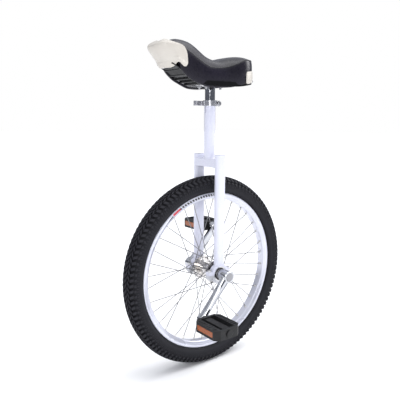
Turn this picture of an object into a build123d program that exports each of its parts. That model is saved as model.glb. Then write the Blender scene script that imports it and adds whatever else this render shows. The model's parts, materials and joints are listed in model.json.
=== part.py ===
"""A 20 inch unicycle: steel fork frame, spoked wheel, cotterless cranks, pedals and a curved saddle.

Millimetres. X points forward, Y to the rider's left and Z up.
The origin is on the ground, straight below the middle of the axle.
"""
from build123d import *
import os
from math import cos, radians, sin

os.makedirs("parts", exist_ok=True)

# ---- wheel ----
tyre_radius = 254.0
tyre_width = 50.4
tread_thickness = 4.5
sidewall_thickness = 2.6
rim_radius = 210.2
rim_width = 30.4
rim_wall = 2.0
hook_depth = 7.0
rim_bed_radius = 194.0
rim_bed_width = 21.0
bead_seat_width = 3.2
bead_clearance = 0.25
bead_overcut = 1.0
tube_wall = 1.2
tube_gap = 0.4
tape_thickness = 0.8
tape_lift = 0.9
tape_side_gap = 0.6
spoke_count = 36
spoke_crossings = 3
spoke_radius = 1.0
spoke_hole_clearance = 0.15
spoke_elbow_lift = 1.2
spoke_head_radius = 1.9
spoke_head_thickness = 1.0
spoke_head_lift = 0.2
nipple_radius = 2.0
nipple_bore_clearance = 0.03
nipple_length = 13.0
nipple_head_radius = 3.0
nipple_head_thickness = 1.4
nipple_head_lift = 0.7
nipple_hole_clearance = 0.12
rim_hole_stagger = 2.5
valve_angle = 100.0
valve_radius = 4.0
valve_seat_gap = 0.1
valve_reach = 30.0
valve_seat_step = 0.2
valve_hole_clearance = 0.3

# ---- hub, axle and bearings ----
hub_barrel_radius = 15.0
hub_flange_radius = 30.5
hub_flange_thickness = 3.0
hub_flange_outer_face = 29.5
hub_collar_radius = 19.0
hub_collar_width = 4.0
spigot_step = 2.0
spigot_rise = 1.5
spoke_circle_radius = 27.0
axle_body_radius = 10.0
bearing_bore_radius = 8.5
bearing_outer_radius = 20.0
bearing_width = 12.0
bearing_ring_thickness = 3.4
race_depth = 0.85
ball_count = 9
ball_clearance = 0.05
seal_thickness = 0.8
seal_setback = 0.7
seal_lip_clearance = 0.3
press_clearance = 0.02
spacer_step = 0.6
square_root_size = 13.6
square_tip_size = 12.6
square_length = 20.0
crank_bolt_radius = 4.0
crank_bolt_length = 26.0
crank_bolt_head_radius = 7.0
crank_bolt_head_thickness = 5.0
bolt_end_gap = 3.0
bolt_bore_gap = 0.3

# ---- cranks and pedals ----
crank_length = 125.0
crank_angle = -49.0
crank_holder_gap = 6.1
crank_stand_off = 0.5
crank_width = 30.5
crank_boss_radius = 15.5
crank_arm_thickness = 16.0
crank_arm_root_width = 27.0
crank_eye_radius = 13.0
crank_bevel = 2.6
crank_cap_radius = 10.5
crank_cap_depth = 3.0
crank_cap_rise = 1.5
crank_web_thickness = 1.7
taper_end_gap = 0.8
spindle_thread_radius = 7.1
spindle_flange_radius = 8.6
spindle_flange_width = 5.0
spindle_radius = 4.5
pedal_gap = 1.2
pedal_width = 90.0
pedal_depth = 76.0
pedal_thickness = 25.0
pedal_bar_depth = 17.0
pedal_end_plate = 7.0
pedal_core_radius = 9.5
pedal_corner = 12.0
pedal_bearing_radius = 7.5
pedal_bearing_width = 7.0
running_clearance = 0.06
reflector_length = 58.0
reflector_height = 13.0
reflector_thickness = 3.0
reflector_gap = 0.1
groove_count = 9
groove_width = 2.4
groove_depth = 1.6
groove_margin = 2.0
pedal_pocket_depth = 15.0
spindle_nut_radius = 6.8
spindle_nut_thickness = 4.0
spindle_nut_gap = 0.4
spindle_bore_gap = 1.2
pedal_cap_spigot = 2.0
pedal_cap_radius = 8.5
pedal_cap_thickness = 2.5

# ---- fork frame ----
leg_spacing = 86.8
leg_depth = 30.0
leg_thickness = 17.0
leg_wall = 1.8
leg_rise_above_crossbar = 10.0
leg_cap_thickness = 3.0
crossbar_gap_to_tyre = 23.0
crossbar_height = 22.0
crossbar_side_wall = 1.5
crossbar_wall = 2.0
crossbar_corner = 3.0
crossbar_hole_gap = 0.3
holder_wall = 6.5
holder_width = 15.0
holder_split = 0.6
holder_fit = 0.02
cap_bolt_edge = 6.5
ear_height = 9.0
cap_bolt_stand_off = 4.0
cap_bolt_radius = 3.0
cap_bolt_clearance = 0.15
cap_bolt_socket_radius = 2.9
cap_bolt_socket_depth = 3.0
cap_bolt_head_radius = 5.0
cap_bolt_head_height = 5.0
cap_nut_radius = 5.6
cap_nut_height = 5.0
seat_tube_wall = 1.55
seat_tube_length = 144.0
seat_tube_slot_width = 2.6
seat_tube_slot_length = 30.0

# ---- seat clamp ----
collar_height = 14.0
collar_wall = 3.0
collar_lip = 2.0
collar_gap = 3.0
ear_thickness = 4.0
ear_margin = 2.6
skewer_stand_off = 8.2
skewer_radius = 2.4
skewer_tail = 1.5
clamp_nut_radius = 6.0
clamp_nut_thickness = 6.5
knurl_count = 18
knurl_radius = 0.7
pivot_stand_off = 9.1
pivot_radius = 2.8
cam_seat_width = 10.0
fork_gap = 6.0
fork_clearance = 0.4
lever_height = 12.0
lever_thickness = 3.6
lever_clearance = 1.6
lever_tip_reach = 33.0
lever_tip_flare = 3.0
lever_bend = 8.0

# ---- seatpost and saddle ----
post_radius = 12.7
post_wall = 2.2
post_fit = 0.05
post_length = 181.0
plate_length = 64.0
plate_width = 44.0
plate_thickness = 4.0
plate_corner = 5.0
plate_gap = 0.3
saddle_bolt_spacing_x = 46.0
saddle_bolt_spacing_y = 26.0
saddle_bolt_radius = 3.0
saddle_bolt_clearance = 0.1
saddle_bolt_length = 16.0
saddle_bolt_head_radius = 6.0
saddle_bolt_head_thickness = 2.5
saddle_nut_radius = 5.5
saddle_nut_thickness = 5.0
saddle_rise = 34.0
saddle_rear = -117.0
saddle_front = 163.0
rear_half_width = 76.0
nose_half_width = 38.0
nose_length = 40.0
rear_length = 66.0
waist_place = 35.0
waist_half_width = 53.0
cover_thickness = 1.6
foam_gap = 0.3
base_skin = 3.0
base_depth = 11.0
base_wall = 3.0
base_inset = 2.2
base_reach_down = 40.0
base_reach_up = 120.0
rib_thickness = 2.4
rib_pitch = 15.0
tray_front = 148.0
bumper_thickness = 3.0
bumper_gap = 0.3
rear_bumper_start = -68.0
rear_bumper_height = 30.0
screw_radius = 2.0
screw_head_radius = 3.8
screw_head_thickness = 1.8
screw_length = 10.0
screw_clearance = 0.1
lip_screw_place = 143.5
lip_screw_spread = 14.0
lip_screw_rise = 29.0
tail_screw_angle = 25.0
tail_screw_rise = 20.0
screw_head_lift = 0.1
lip_start = 139.0
lip_thickness = 3.0
lip_half_width = 24.0

# ---- worked out from the sizes above ----
axle_height = tyre_radius
leg_centre = leg_spacing / 2
seat_tube_radius = post_radius + post_fit + seat_tube_wall
crossbar_depth = 2 * (post_radius + crossbar_hole_gap + crossbar_side_wall)
crossbar_bottom = tyre_radius * 2 + crossbar_gap_to_tyre
crossbar_top = crossbar_bottom + crossbar_height
leg_top = crossbar_top + leg_rise_above_crossbar
seat_tube_top = crossbar_top + seat_tube_length
saddle_height = seat_tube_top + saddle_rise
rim_half = rim_width / 2
bed_half = rim_bed_width / 2
bead_seat_radius = rim_radius - hook_depth
well_radius = rim_bed_radius + rim_wall
bearing_centre = leg_centre
crank_inner_face = bearing_centre + holder_width / 2 + crank_holder_gap
crank_outer_face = crank_inner_face + crank_width
holder_radius = bearing_outer_radius + holder_wall
cap_bolt_offset = holder_radius + cap_bolt_stand_off
ear_reach = cap_bolt_offset + cap_bolt_edge
sides = (("left", 1), ("right", -1))
valve_direction = (cos(radians(valve_angle)), 0, sin(radians(valve_angle)))
valve_plane = Plane(origin=(0, 0, axle_height), z_dir=valve_direction)

wheel_section = Plane(origin=(0, 0, axle_height), x_dir=(0, 1, 0), z_dir=(1, 0, 0))
axle_line = Axis((0, 0, axle_height), (0, 1, 0))


def finish(piece, name):
    """Label a finished piece and write it as a STEP file."""
    piece.part.label = name
    export_step(piece.part, f"parts/{name}.step")


def around_axle(radius, angle, y):
    """The point at a radius and angle about the axle line, at a distance y to the left."""
    return Vector(radius * cos(radians(angle)), y, axle_height + radius * sin(radians(angle)))


def across(x, y, z, facing=1, angle=0.0):
    """A plane square to the axle line: local z points along Y times facing, local x along angle."""
    direction = (cos(radians(angle)), 0, sin(radians(angle)))
    return Plane(origin=(x, y, z), x_dir=direction, z_dir=(0, facing, 0))


def crank_plane(side, distance):
    """The plane square to the axle at a distance out on one side, its local x along that crank."""
    return across(0, side * distance, axle_height, side, crank_angle + (0 if side > 0 else 180))


def ring_of(low, high, inner, outer):
    """The section of a plain ring about the axle: low and high are along Y, the rest are radii."""
    with BuildSketch() as section:
        with BuildLine():
            Polyline((low, inner), (high, inner), (high, outer), (low, outer), close=True)
        make_face()
    return section.sketch


# ---- tyre, inner tube, rim and rim tape ----
def tyre_outline(crown_inset, side_inset, bead_half, foot_radius):
    """The closed outline of the tyre's section, drawn inside the outer skin by the two insets."""
    half = tyre_width / 2 - side_inset
    crown = tyre_radius - crown_inset
    belly = tyre_radius - tyre_width / 2
    hook_top = rim_radius + 0.4 + side_inset / 2
    with BuildSketch() as outline:
        with BuildLine():
            for side in (1, -1):
                Line((0, foot_radius), (side * bead_half, foot_radius))
                Line((side * bead_half, foot_radius), (side * bead_half, hook_top))
                bulge_out = bead_half + (half - bead_half) * 0.76
                bulge = (side * bulge_out, hook_top + (belly - hook_top) * 0.36)
                ThreePointArc((side * bead_half, hook_top), bulge, (side * half, belly))
                shoulder = (side * half * 0.72, belly + (crown - belly) * 0.69)
                ThreePointArc((side * half, belly), shoulder, (0, crown))
        make_face()
    return outline.sketch


bead_outer_half = rim_half - rim_wall - bead_clearance
bead_inner_half = bead_outer_half - bead_seat_width
bead_foot = bead_seat_radius + bead_clearance

with BuildPart() as tyre:
    with BuildSketch(wheel_section):
        add(tyre_outline(0, 0, bead_outer_half, bead_foot))
    revolve(axis=axle_line)
    with BuildSketch(wheel_section):
        add(tyre_outline(tread_thickness, sidewall_thickness, bead_inner_half, bead_foot - bead_overcut))
    revolve(axis=axle_line, mode=Mode.SUBTRACT)
finish(tyre, "tyre")

tape_radius = well_radius + nipple_head_lift + nipple_head_thickness + tape_lift
tape_half = bed_half - rim_wall - tape_side_gap
tube_foot = tape_radius + tape_thickness + bead_clearance
tube_half = min(bead_inner_half - bead_clearance, tape_half)

with BuildPart() as inner_tube:
    with BuildSketch(wheel_section):
        add(tyre_outline(tread_thickness + tube_gap, sidewall_thickness + tube_gap, tube_half, tube_foot))
    revolve(axis=axle_line)
    with BuildSketch(wheel_section):
        crown_inset = tread_thickness + tube_gap + tube_wall
        side_inset = sidewall_thickness + tube_gap + tube_wall
        add(tyre_outline(crown_inset, side_inset, tube_half - tube_wall, tube_foot + tube_wall))
    revolve(axis=axle_line, mode=Mode.SUBTRACT)
finish(inner_tube, "inner_tube")

with BuildPart() as rim_tape:
    with BuildSketch(wheel_section):
        add(ring_of(-tape_half, tape_half, tape_radius, tape_radius + tape_thickness))
    revolve(axis=axle_line)
    with BuildSketch(valve_plane):
        Circle(valve_radius + valve_hole_clearance)
    extrude(amount=rim_radius, mode=Mode.SUBTRACT)
finish(rim_tape, "rim_tape")


def spoke_line(side, heading, turn):
    """Where a spoke leaves its flange, where it meets the rim, and the direction between them.

    side is 1 for the left flange. heading is 1 for a spoke that leans with the turn of the wheel
    from an elbow outside the flange, and -1 for one that leans against it from inside.
    """
    pitch = 720 / spoke_count
    hub_angle = side * pitch / 4 + (2 * turn + (1 - heading) / 2) * pitch
    rim_angle = hub_angle + heading * spoke_crossings * pitch
    if heading > 0:
        elbow = hub_flange_outer_face + spoke_radius + spoke_elbow_lift
    else:
        elbow = hub_flange_outer_face - hub_flange_thickness - spoke_radius - spoke_hole_clearance
    start = around_axle(spoke_circle_radius, hub_angle, side * elbow)
    end = around_axle(rim_bed_radius, rim_angle, side * rim_hole_stagger)
    return start, end, (end - start).normalized()


spoke_places = {
    side: [(side, heading, turn) for heading in (1, -1) for turn in range(spoke_count // 4)]
    for side in (1, -1)
}
all_spokes = spoke_places[1] + spoke_places[-1]


def nipple_plane(place, along):
    """The plane across a nipple, at a distance outward from the face of the rim bed."""
    start, end, direction = spoke_line(*place)
    return Plane(origin=end + direction * along, z_dir=direction)


with BuildPart() as rim:
    with BuildSketch(wheel_section):
        with BuildLine():
            for side in (1, -1):
                Polyline(
                    (0, rim_bed_radius),
                    (side * bed_half, rim_bed_radius),
                    (side * (bed_half + 1.6), rim_bed_radius + 4.6),
                    (side * rim_half, bead_seat_radius - 1.2),
                    (side * rim_half, rim_radius - 0.8),
                    (side * (rim_half - 0.8), rim_radius),
                    (side * (rim_half - rim_wall), rim_radius),
                    (side * (rim_half - rim_wall), bead_seat_radius),
                    (side * (bed_half - rim_wall + 1.2), bead_seat_radius),
                    (side * (bed_half - rim_wall), well_radius),
                    (0, well_radius),
                )
        make_face()
    revolve(axis=axle_line)
    with BuildSketch(*[nipple_plane(place, -rim_wall) for place in all_spokes]):
        Circle(nipple_radius + nipple_hole_clearance)
    extrude(amount=rim_wall * 3, mode=Mode.SUBTRACT)
    with BuildSketch(valve_plane):
        Circle(valve_radius + valve_hole_clearance)
    extrude(amount=rim_radius, mode=Mode.SUBTRACT)
finish(rim, "rim")

with BuildPart() as spoke_nipples:
    head_start = rim_wall + nipple_head_lift
    body_start = head_start + nipple_head_thickness - nipple_length
    with BuildSketch(*[nipple_plane(place, body_start) for place in all_spokes]):
        Circle(nipple_radius)
    extrude(amount=nipple_length)
    with BuildSketch(*[nipple_plane(place, head_start) for place in all_spokes]):
        Circle(nipple_head_radius)
    extrude(amount=nipple_head_thickness)
    with BuildSketch(*[nipple_plane(place, body_start) for place in all_spokes]):
        Circle(spoke_radius + nipple_bore_clearance)
    extrude(amount=nipple_length, mode=Mode.SUBTRACT)
finish(spoke_nipples, "spoke_nipples")

for side_name, side in sides:
    starts = [spoke_line(*place) for place in spoke_places[side]]
    with BuildPart() as spokes:
        for start, end, direction in starts:
            with BuildSketch(Plane(origin=start, z_dir=direction)):
                Circle(spoke_radius)
            extrude(amount=(end - start).length + rim_wall)
            flange_middle = side * (hub_flange_outer_face - hub_flange_thickness / 2)
            inward = 1 if flange_middle > start.Y else -1
            through = abs(start.Y - flange_middle) + hub_flange_thickness / 2 + spoke_head_lift
            with BuildSketch(Plane(origin=start, z_dir=(0, inward, 0))):
                Circle(spoke_radius)
            extrude(amount=through + spoke_head_thickness)
            head_place = start + Vector(0, inward * through, 0)
            with BuildSketch(Plane(origin=head_place, z_dir=(0, inward, 0))):
                Circle(spoke_head_radius)
            extrude(amount=spoke_head_thickness)
            with Locations(start):
                Sphere(spoke_radius)
    finish(spokes, f"spokes_{side_name}")

valve_foot = tube_foot - valve_seat_gap

with BuildPart() as valve_stem:
    with BuildSketch(valve_plane.offset(rim_bed_radius - valve_reach)):
        Circle(valve_radius)
    extrude(amount=valve_reach)
    with BuildSketch(valve_plane.offset(rim_bed_radius)):
        Circle(valve_radius + valve_seat_step)
    extrude(amount=valve_foot - rim_bed_radius)
finish(valve_stem, "valve_stem")


# ---- hub, axle and bearings ----
spigot_radius = hub_barrel_radius - spigot_step
spigot_end = hub_flange_outer_face + spigot_rise
flange_inner_face = hub_flange_outer_face - hub_flange_thickness

with BuildPart() as hub_barrel:
    with BuildSketch(wheel_section):
        add(ring_of(-spigot_end, spigot_end, axle_body_radius + press_clearance, spigot_radius))
        collar_face = flange_inner_face - hub_collar_width
        add(ring_of(-collar_face, collar_face, axle_body_radius + press_clearance, hub_barrel_radius))
    revolve(axis=axle_line)
finish(hub_barrel, "hub_barrel")

for side_name, side in sides:
    with BuildPart() as flange:
        with BuildSketch(wheel_section):
            inner = spigot_radius + press_clearance
            add(ring_of(side * flange_inner_face, side * hub_flange_outer_face, inner, hub_flange_radius))
            add(ring_of(side * collar_face, side * flange_inner_face, inner, hub_collar_radius))
        revolve(axis=axle_line)
        holes = [spoke_line(*place)[0] for place in spoke_places[side]]
        hole_planes = [Plane(origin=(point.X, 0, point.Z), z_dir=(0, side, 0)) for point in holes]
        with BuildSketch(*hole_planes):
            Circle(spoke_radius + spoke_hole_clearance)
        extrude(amount=hub_flange_outer_face + 1, mode=Mode.SUBTRACT)
    finish(flange, f"hub_flange_{side_name}")

bearing_inner_face = bearing_centre - bearing_width / 2
bearing_outer_face = bearing_centre + bearing_width / 2
journal_radius = bearing_bore_radius - press_clearance
journal_end = crank_inner_face - crank_stand_off


def square_taper(side, growth, reach):
    """The rounded square taper of the axle's end, grown on every face by growth."""
    with BuildPart() as taper:
        with BuildSketch(crank_plane(side, journal_end)):
            Rectangle(square_root_size + 2 * growth, square_root_size + 2 * growth)
        with BuildSketch(crank_plane(side, journal_end + reach)):
            tip_size = square_root_size - (square_root_size - square_tip_size) * reach / square_length
            Rectangle(tip_size + 2 * growth, tip_size + 2 * growth)
        loft()
        with BuildSketch(crank_plane(side, journal_end)):
            Circle(journal_radius + growth)
        extrude(amount=reach, mode=Mode.INTERSECT)
    return taper.part


with BuildPart() as axle:
    with BuildSketch(wheel_section):
        add(ring_of(-bearing_inner_face, bearing_inner_face, 0, axle_body_radius))
        add(ring_of(-journal_end, journal_end, 0, journal_radius))
    revolve(axis=axle_line)
    for side_name, side in sides:
        add(square_taper(side, 0, square_length))
        with BuildSketch(crank_plane(side, journal_end + square_length)):
            Circle(crank_bolt_radius + press_clearance)
        extrude(amount=-crank_bolt_length, mode=Mode.SUBTRACT)
finish(axle, "axle")

race_middle = (bearing_bore_radius + bearing_outer_radius) / 2
outer_race = bearing_outer_radius - bearing_ring_thickness
inner_race = bearing_bore_radius + bearing_ring_thickness
ball_radius = (outer_race - inner_race) / 2 + race_depth

with BuildPart() as bearing_outer_rings:
    with BuildSketch(wheel_section):
        for side_name, side in sides:
            low, high = side * bearing_inner_face, side * bearing_outer_face
            add(ring_of(low, high, outer_race, bearing_outer_radius))
            with Locations((side * bearing_centre, race_middle)):
                Circle(ball_radius + ball_clearance, mode=Mode.SUBTRACT)
    revolve(axis=axle_line)
finish(bearing_outer_rings, "bearing_outer_rings")

with BuildPart() as bearing_inner_rings:
    with BuildSketch(wheel_section):
        for side_name, side in sides:
            low, high = side * bearing_inner_face, side * bearing_outer_face
            add(ring_of(low, high, bearing_bore_radius, inner_race))
            with Locations((side * bearing_centre, race_middle)):
                Circle(ball_radius + ball_clearance, mode=Mode.SUBTRACT)
    revolve(axis=axle_line)
finish(bearing_inner_rings, "bearing_inner_rings")

with BuildPart() as bearing_balls:
    for side_name, side in sides:
        turns = [360 * count / ball_count for count in range(ball_count)]
        with Locations(*[around_axle(race_middle, turn, side * bearing_centre) for turn in turns]):
            Sphere(ball_radius)
finish(bearing_balls, "bearing_balls")

seal_faces = (bearing_inner_face + seal_setback, bearing_outer_face - seal_setback - seal_thickness)

with BuildPart() as bearing_seals:
    with BuildSketch(wheel_section):
        for side_name, side in sides:
            for face in seal_faces:
                low, high = side * face, side * (face + seal_thickness)
                add(ring_of(low, high, inner_race + seal_lip_clearance, outer_race - press_clearance))
    revolve(axis=axle_line)
finish(bearing_seals, "bearing_seals")

with BuildPart() as axle_spacers:
    with BuildSketch(wheel_section):
        for side_name, side in sides:
            low, high = side * bearing_outer_face, side * journal_end
            add(ring_of(low, high, bearing_bore_radius, inner_race - spacer_step))
    revolve(axis=axle_line)
finish(axle_spacers, "axle_spacers")


# ---- cranks, their bolts and caps ----
arm_inner_face = crank_outer_face - crank_arm_thickness
web_inner = journal_end + square_length + taper_end_gap
web_outer = web_inner + crank_web_thickness
cap_seat = crank_outer_face - crank_cap_depth

for side_name, side in sides:
    with BuildPart() as crank:
        with BuildSketch(crank_plane(side, arm_inner_face)):
            Circle(crank_arm_root_width / 2)
            with Locations((crank_length, 0)):
                Circle(crank_eye_radius)
            make_hull()
        extrude(amount=crank_arm_thickness)
        arm_faces = crank.faces().sort_by(Axis.Y)
        chamfer(arm_faces[0].edges() + arm_faces[-1].edges(), crank_bevel)
        with BuildSketch(crank_plane(side, crank_inner_face)):
            Circle(crank_boss_radius)
        extrude(amount=crank_outer_face - crank_inner_face)
        add(square_taper(side, press_clearance, web_inner - journal_end), mode=Mode.SUBTRACT)
        with BuildSketch(crank_plane(side, crank_inner_face)):
            Circle(crank_bolt_radius + bolt_bore_gap)
            with Locations((crank_length, 0)):
                Circle(spindle_thread_radius + press_clearance)
        extrude(amount=crank_outer_face - crank_inner_face + 1, mode=Mode.SUBTRACT)
        with BuildSketch(crank_plane(side, web_outer)):
            Circle(crank_cap_radius + press_clearance)
        extrude(amount=crank_outer_face - web_outer + 1, mode=Mode.SUBTRACT)
    finish(crank, f"crank_{side_name}")

with BuildPart() as crank_bolts:
    for side_name, side in sides:
        with BuildSketch(crank_plane(side, web_outer)):
            RegularPolygon(crank_bolt_head_radius, 6)
        extrude(amount=crank_bolt_head_thickness)
        with BuildSketch(crank_plane(side, web_outer)):
            Circle(crank_bolt_radius)
        extrude(amount=bolt_end_gap - crank_bolt_length)
finish(crank_bolts, "crank_bolts")

with BuildPart() as crank_caps:
    for side_name, side in sides:
        with BuildSketch(crank_plane(side, cap_seat)):
            Circle(crank_cap_radius)
        extrude(amount=crank_cap_depth + crank_cap_rise)
        cap_face = crank_caps.faces().sort_by(Axis.Y)[-1 if side > 0 else 0]
        fillet(cap_face.edges(), crank_cap_rise * 0.8)
finish(crank_caps, "crank_caps")


# ---- pedals ----
pedal_inner = crank_outer_face + spindle_flange_width + pedal_gap
pedal_outer = pedal_inner + pedal_width
outer_bearing_start = pedal_outer - pedal_pocket_depth
spindle_end = outer_bearing_start + pedal_bearing_width + spindle_nut_gap + spindle_nut_thickness
window_depth = pedal_depth / 2 - pedal_bar_depth - pedal_core_radius
core_length = pedal_width - 2 * pedal_end_plate
groove_pitch = core_length / groove_count
groove_length = pedal_bar_depth - 2 * groove_margin

for side_name, side in sides:
    pedal_turn = radians(crank_angle if side > 0 else crank_angle + 180)
    eye_x = crank_length * cos(pedal_turn)
    eye_z = axle_height + crank_length * sin(pedal_turn)

    with BuildPart() as spindle:
        with BuildSketch(across(eye_x, side * arm_inner_face, eye_z, side)):
            Circle(spindle_thread_radius)
        extrude(amount=crank_arm_thickness)
        with BuildSketch(across(eye_x, side * crank_outer_face, eye_z, side)):
            Circle(spindle_flange_radius)
        extrude(amount=spindle_flange_width)
        with BuildSketch(across(eye_x, side * crank_outer_face, eye_z, side)):
            Circle(spindle_radius)
        extrude(amount=spindle_end - crank_outer_face)
        nut_start = spindle_end - spindle_nut_thickness
        with BuildSketch(across(eye_x, side * nut_start, eye_z, side)):
            RegularPolygon(spindle_nut_radius, 6)
        extrude(amount=spindle_nut_thickness)
    finish(spindle, f"pedal_spindle_{side_name}")

    with BuildPart() as pedal:
        pedal_middle = side * (pedal_inner + pedal_outer) / 2
        low_face = eye_z - pedal_thickness / 2
        with BuildSketch(Plane(origin=(eye_x, pedal_middle, low_face))) as outline:
            Rectangle(pedal_depth, pedal_width)
            chamfer(outline.vertices(), pedal_corner)
            for end in (1, -1):
                with Locations((end * (pedal_core_radius + window_depth / 2), 0)):
                    Rectangle(window_depth, core_length, mode=Mode.SUBTRACT)
        extrude(amount=pedal_thickness)
        for level in (1, -1):
            trim_depth = pedal_thickness / 2 - pedal_core_radius
            trim_level = eye_z + level * (pedal_thickness / 2 - trim_depth / 2)
            with Locations((eye_x, pedal_middle, trim_level)):
                Box(2 * pedal_core_radius, core_length, trim_depth, mode=Mode.SUBTRACT)
            for end in (1, -1):
                bar_middle = eye_x + end * (pedal_depth / 2 - pedal_bar_depth / 2)
                for count in range(groove_count - 1):
                    groove_y = pedal_middle + (count + 1 - groove_count / 2) * groove_pitch
                    with Locations((bar_middle, groove_y, eye_z + level * pedal_thickness / 2)):
                        Box(groove_length, groove_width, 2 * groove_depth, mode=Mode.SUBTRACT)
        for end in (1, -1):
            pocket_x = eye_x + end * (pedal_depth / 2 - reflector_thickness / 2)
            with Locations((pocket_x, pedal_middle, eye_z)):
                Box(
                    reflector_thickness,
                    reflector_length + 2 * reflector_gap,
                    reflector_height + 2 * reflector_gap,
                    mode=Mode.SUBTRACT,
                )
        with BuildSketch(across(eye_x, side * pedal_inner, eye_z, side)):
            Circle(spindle_radius + spindle_bore_gap)
        extrude(amount=pedal_width, mode=Mode.SUBTRACT)
        with BuildSketch(across(eye_x, side * pedal_inner, eye_z, side)):
            Circle(pedal_bearing_radius)
        extrude(amount=pedal_bearing_width, mode=Mode.SUBTRACT)
        with BuildSketch(across(eye_x, side * outer_bearing_start, eye_z, side)):
            Circle(pedal_bearing_radius)
        extrude(amount=pedal_pocket_depth, mode=Mode.SUBTRACT)
    finish(pedal, f"pedal_body_{side_name}")

    with BuildPart() as bearings:
        for start in (pedal_inner, outer_bearing_start):
            with BuildSketch(across(eye_x, side * start, eye_z, side)):
                Circle(pedal_bearing_radius - press_clearance)
                Circle(spindle_radius + running_clearance, mode=Mode.SUBTRACT)
            extrude(amount=pedal_bearing_width)
    finish(bearings, f"pedal_bearings_{side_name}")

    with BuildPart() as reflectors:
        for end in (1, -1):
            reflector_x = eye_x + end * (pedal_depth / 2 - reflector_thickness / 2)
            with Locations((reflector_x, pedal_middle, eye_z)):
                Box(reflector_thickness, reflector_length, reflector_height)
    finish(reflectors, f"pedal_reflectors_{side_name}")

    with BuildPart() as pedal_cap:
        with BuildSketch(across(eye_x, side * (pedal_outer - pedal_cap_spigot), eye_z, side)):
            Circle(pedal_bearing_radius - press_clearance)
        extrude(amount=pedal_cap_spigot)
        with BuildSketch(across(eye_x, side * pedal_outer, eye_z, side)):
            Circle(pedal_cap_radius)
        extrude(amount=pedal_cap_thickness)
    finish(pedal_cap, f"pedal_cap_{side_name}")


# ---- fork frame ----
leg_middles = [(0, side * leg_centre) for side_name, side in sides]
leg_bore_depth = leg_depth - 2 * leg_wall
leg_bore_thickness = leg_thickness - 2 * leg_wall


def leg_section(inset):
    """The flat-sided section of both legs, drawn from above, inside their skin by inset."""
    with BuildSketch() as section:
        with Locations(*leg_middles):
            SlotOverall(leg_depth - 2 * inset, leg_thickness - 2 * inset)
    return section.sketch


for side_name, side in sides:
    with BuildPart() as leg:
        with BuildSketch(Plane.XY.offset(axle_height)):
            with Locations((0, side * leg_centre)):
                SlotOverall(leg_depth, leg_thickness)
                SlotOverall(leg_bore_depth, leg_bore_thickness, mode=Mode.SUBTRACT)
        extrude(amount=leg_top - axle_height)
        with BuildSketch(across(0, 0, axle_height)):
            Circle(holder_radius)
        extrude(amount=leg_spacing, both=True, mode=Mode.SUBTRACT)
    finish(leg, f"frame_leg_{side_name}")

with BuildPart() as leg_top_caps:
    with BuildSketch(Plane.XY.offset(leg_top - leg_cap_thickness)):
        add(leg_section(leg_wall + press_clearance))
    extrude(amount=leg_cap_thickness)
finish(leg_top_caps, "leg_top_caps")

with BuildPart() as crown_crossbar:
    with BuildSketch(across(0, -leg_centre, (crossbar_bottom + crossbar_top) / 2)):
        Rectangle(crossbar_depth, crossbar_height)
        fillet(vertices(), crossbar_corner)
        Rectangle(crossbar_depth - 2 * crossbar_wall, crossbar_height - 2 * crossbar_wall, mode=Mode.SUBTRACT)
    extrude(amount=leg_spacing)
    with BuildSketch(Plane.XY.offset(crossbar_bottom)):
        add(leg_section(0))
        Circle(post_radius + crossbar_hole_gap)
    extrude(amount=crossbar_height, mode=Mode.SUBTRACT)
finish(crown_crossbar, "crown_crossbar")

with BuildPart() as seat_tube:
    with BuildSketch(Plane.XY.offset(crossbar_top)):
        Circle(seat_tube_radius)
        Circle(post_radius + post_fit, mode=Mode.SUBTRACT)
    extrude(amount=seat_tube_top - crossbar_top)
    with Locations((seat_tube_radius, 0, seat_tube_top - seat_tube_slot_length / 2)):
        Box(seat_tube_radius, seat_tube_slot_width, seat_tube_slot_length, mode=Mode.SUBTRACT)
finish(seat_tube, "seat_tube")

for side_name, side in sides:
    for piece_name, level in (("bearing_holder", 1), ("bearing_cap", -1)):
        with BuildPart() as holder:
            inner_plane = across(0, side * (bearing_centre - holder_width / 2), axle_height, side)
            with BuildSketch(Plane(origin=inner_plane.origin, x_dir=(1, 0, 0), z_dir=(0, -1, 0))):
                Circle(holder_radius)
                with Locations((0, level * ear_height / 2)):
                    Rectangle(2 * ear_reach, ear_height)
                Circle(bearing_outer_radius + holder_fit, mode=Mode.SUBTRACT)
                with Locations((0, -level * (holder_radius - holder_split / 2))):
                    Rectangle(3 * ear_reach, 2 * holder_radius, mode=Mode.SUBTRACT)
            extrude(amount=-side * holder_width)
            hole_points = [(end * cap_bolt_offset, side * bearing_centre) for end in (1, -1)]
            with BuildSketch(Plane.XY.offset(axle_height - 2 * ear_height)):
                with Locations(*hole_points):
                    Circle(cap_bolt_radius + cap_bolt_clearance)
            extrude(amount=4 * ear_height, mode=Mode.SUBTRACT)
        finish(holder, f"{piece_name}_{side_name}")

bolt_spots = [(end * cap_bolt_offset, side * bearing_centre) for side_name, side in sides for end in (1, -1)]

with BuildPart() as bearing_cap_bolts:
    with BuildSketch(Plane.XY.offset(axle_height + ear_height)):
        with Locations(*bolt_spots):
            Circle(cap_bolt_head_radius)
    extrude(amount=cap_bolt_head_height)
    with BuildSketch(Plane.XY.offset(axle_height + ear_height + cap_bolt_head_height)):
        with Locations(*bolt_spots):
            RegularPolygon(cap_bolt_socket_radius, 6)
    extrude(amount=-cap_bolt_socket_depth, mode=Mode.SUBTRACT)
    with BuildSketch(Plane.XY.offset(axle_height + ear_height)):
        with Locations(*bolt_spots):
            Circle(cap_bolt_radius)
    extrude(amount=-(2 * ear_height + cap_nut_height + 1))
finish(bearing_cap_bolts, "bearing_cap_bolts")

with BuildPart() as bearing_cap_nuts:
    with BuildSketch(Plane.XY.offset(axle_height - ear_height - cap_nut_height)):
        with Locations(*bolt_spots):
            RegularPolygon(cap_nut_radius, 6)
            Circle(cap_bolt_radius + press_clearance, mode=Mode.SUBTRACT)
    extrude(amount=cap_nut_height)
finish(bearing_cap_nuts, "bearing_cap_nuts")


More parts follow.
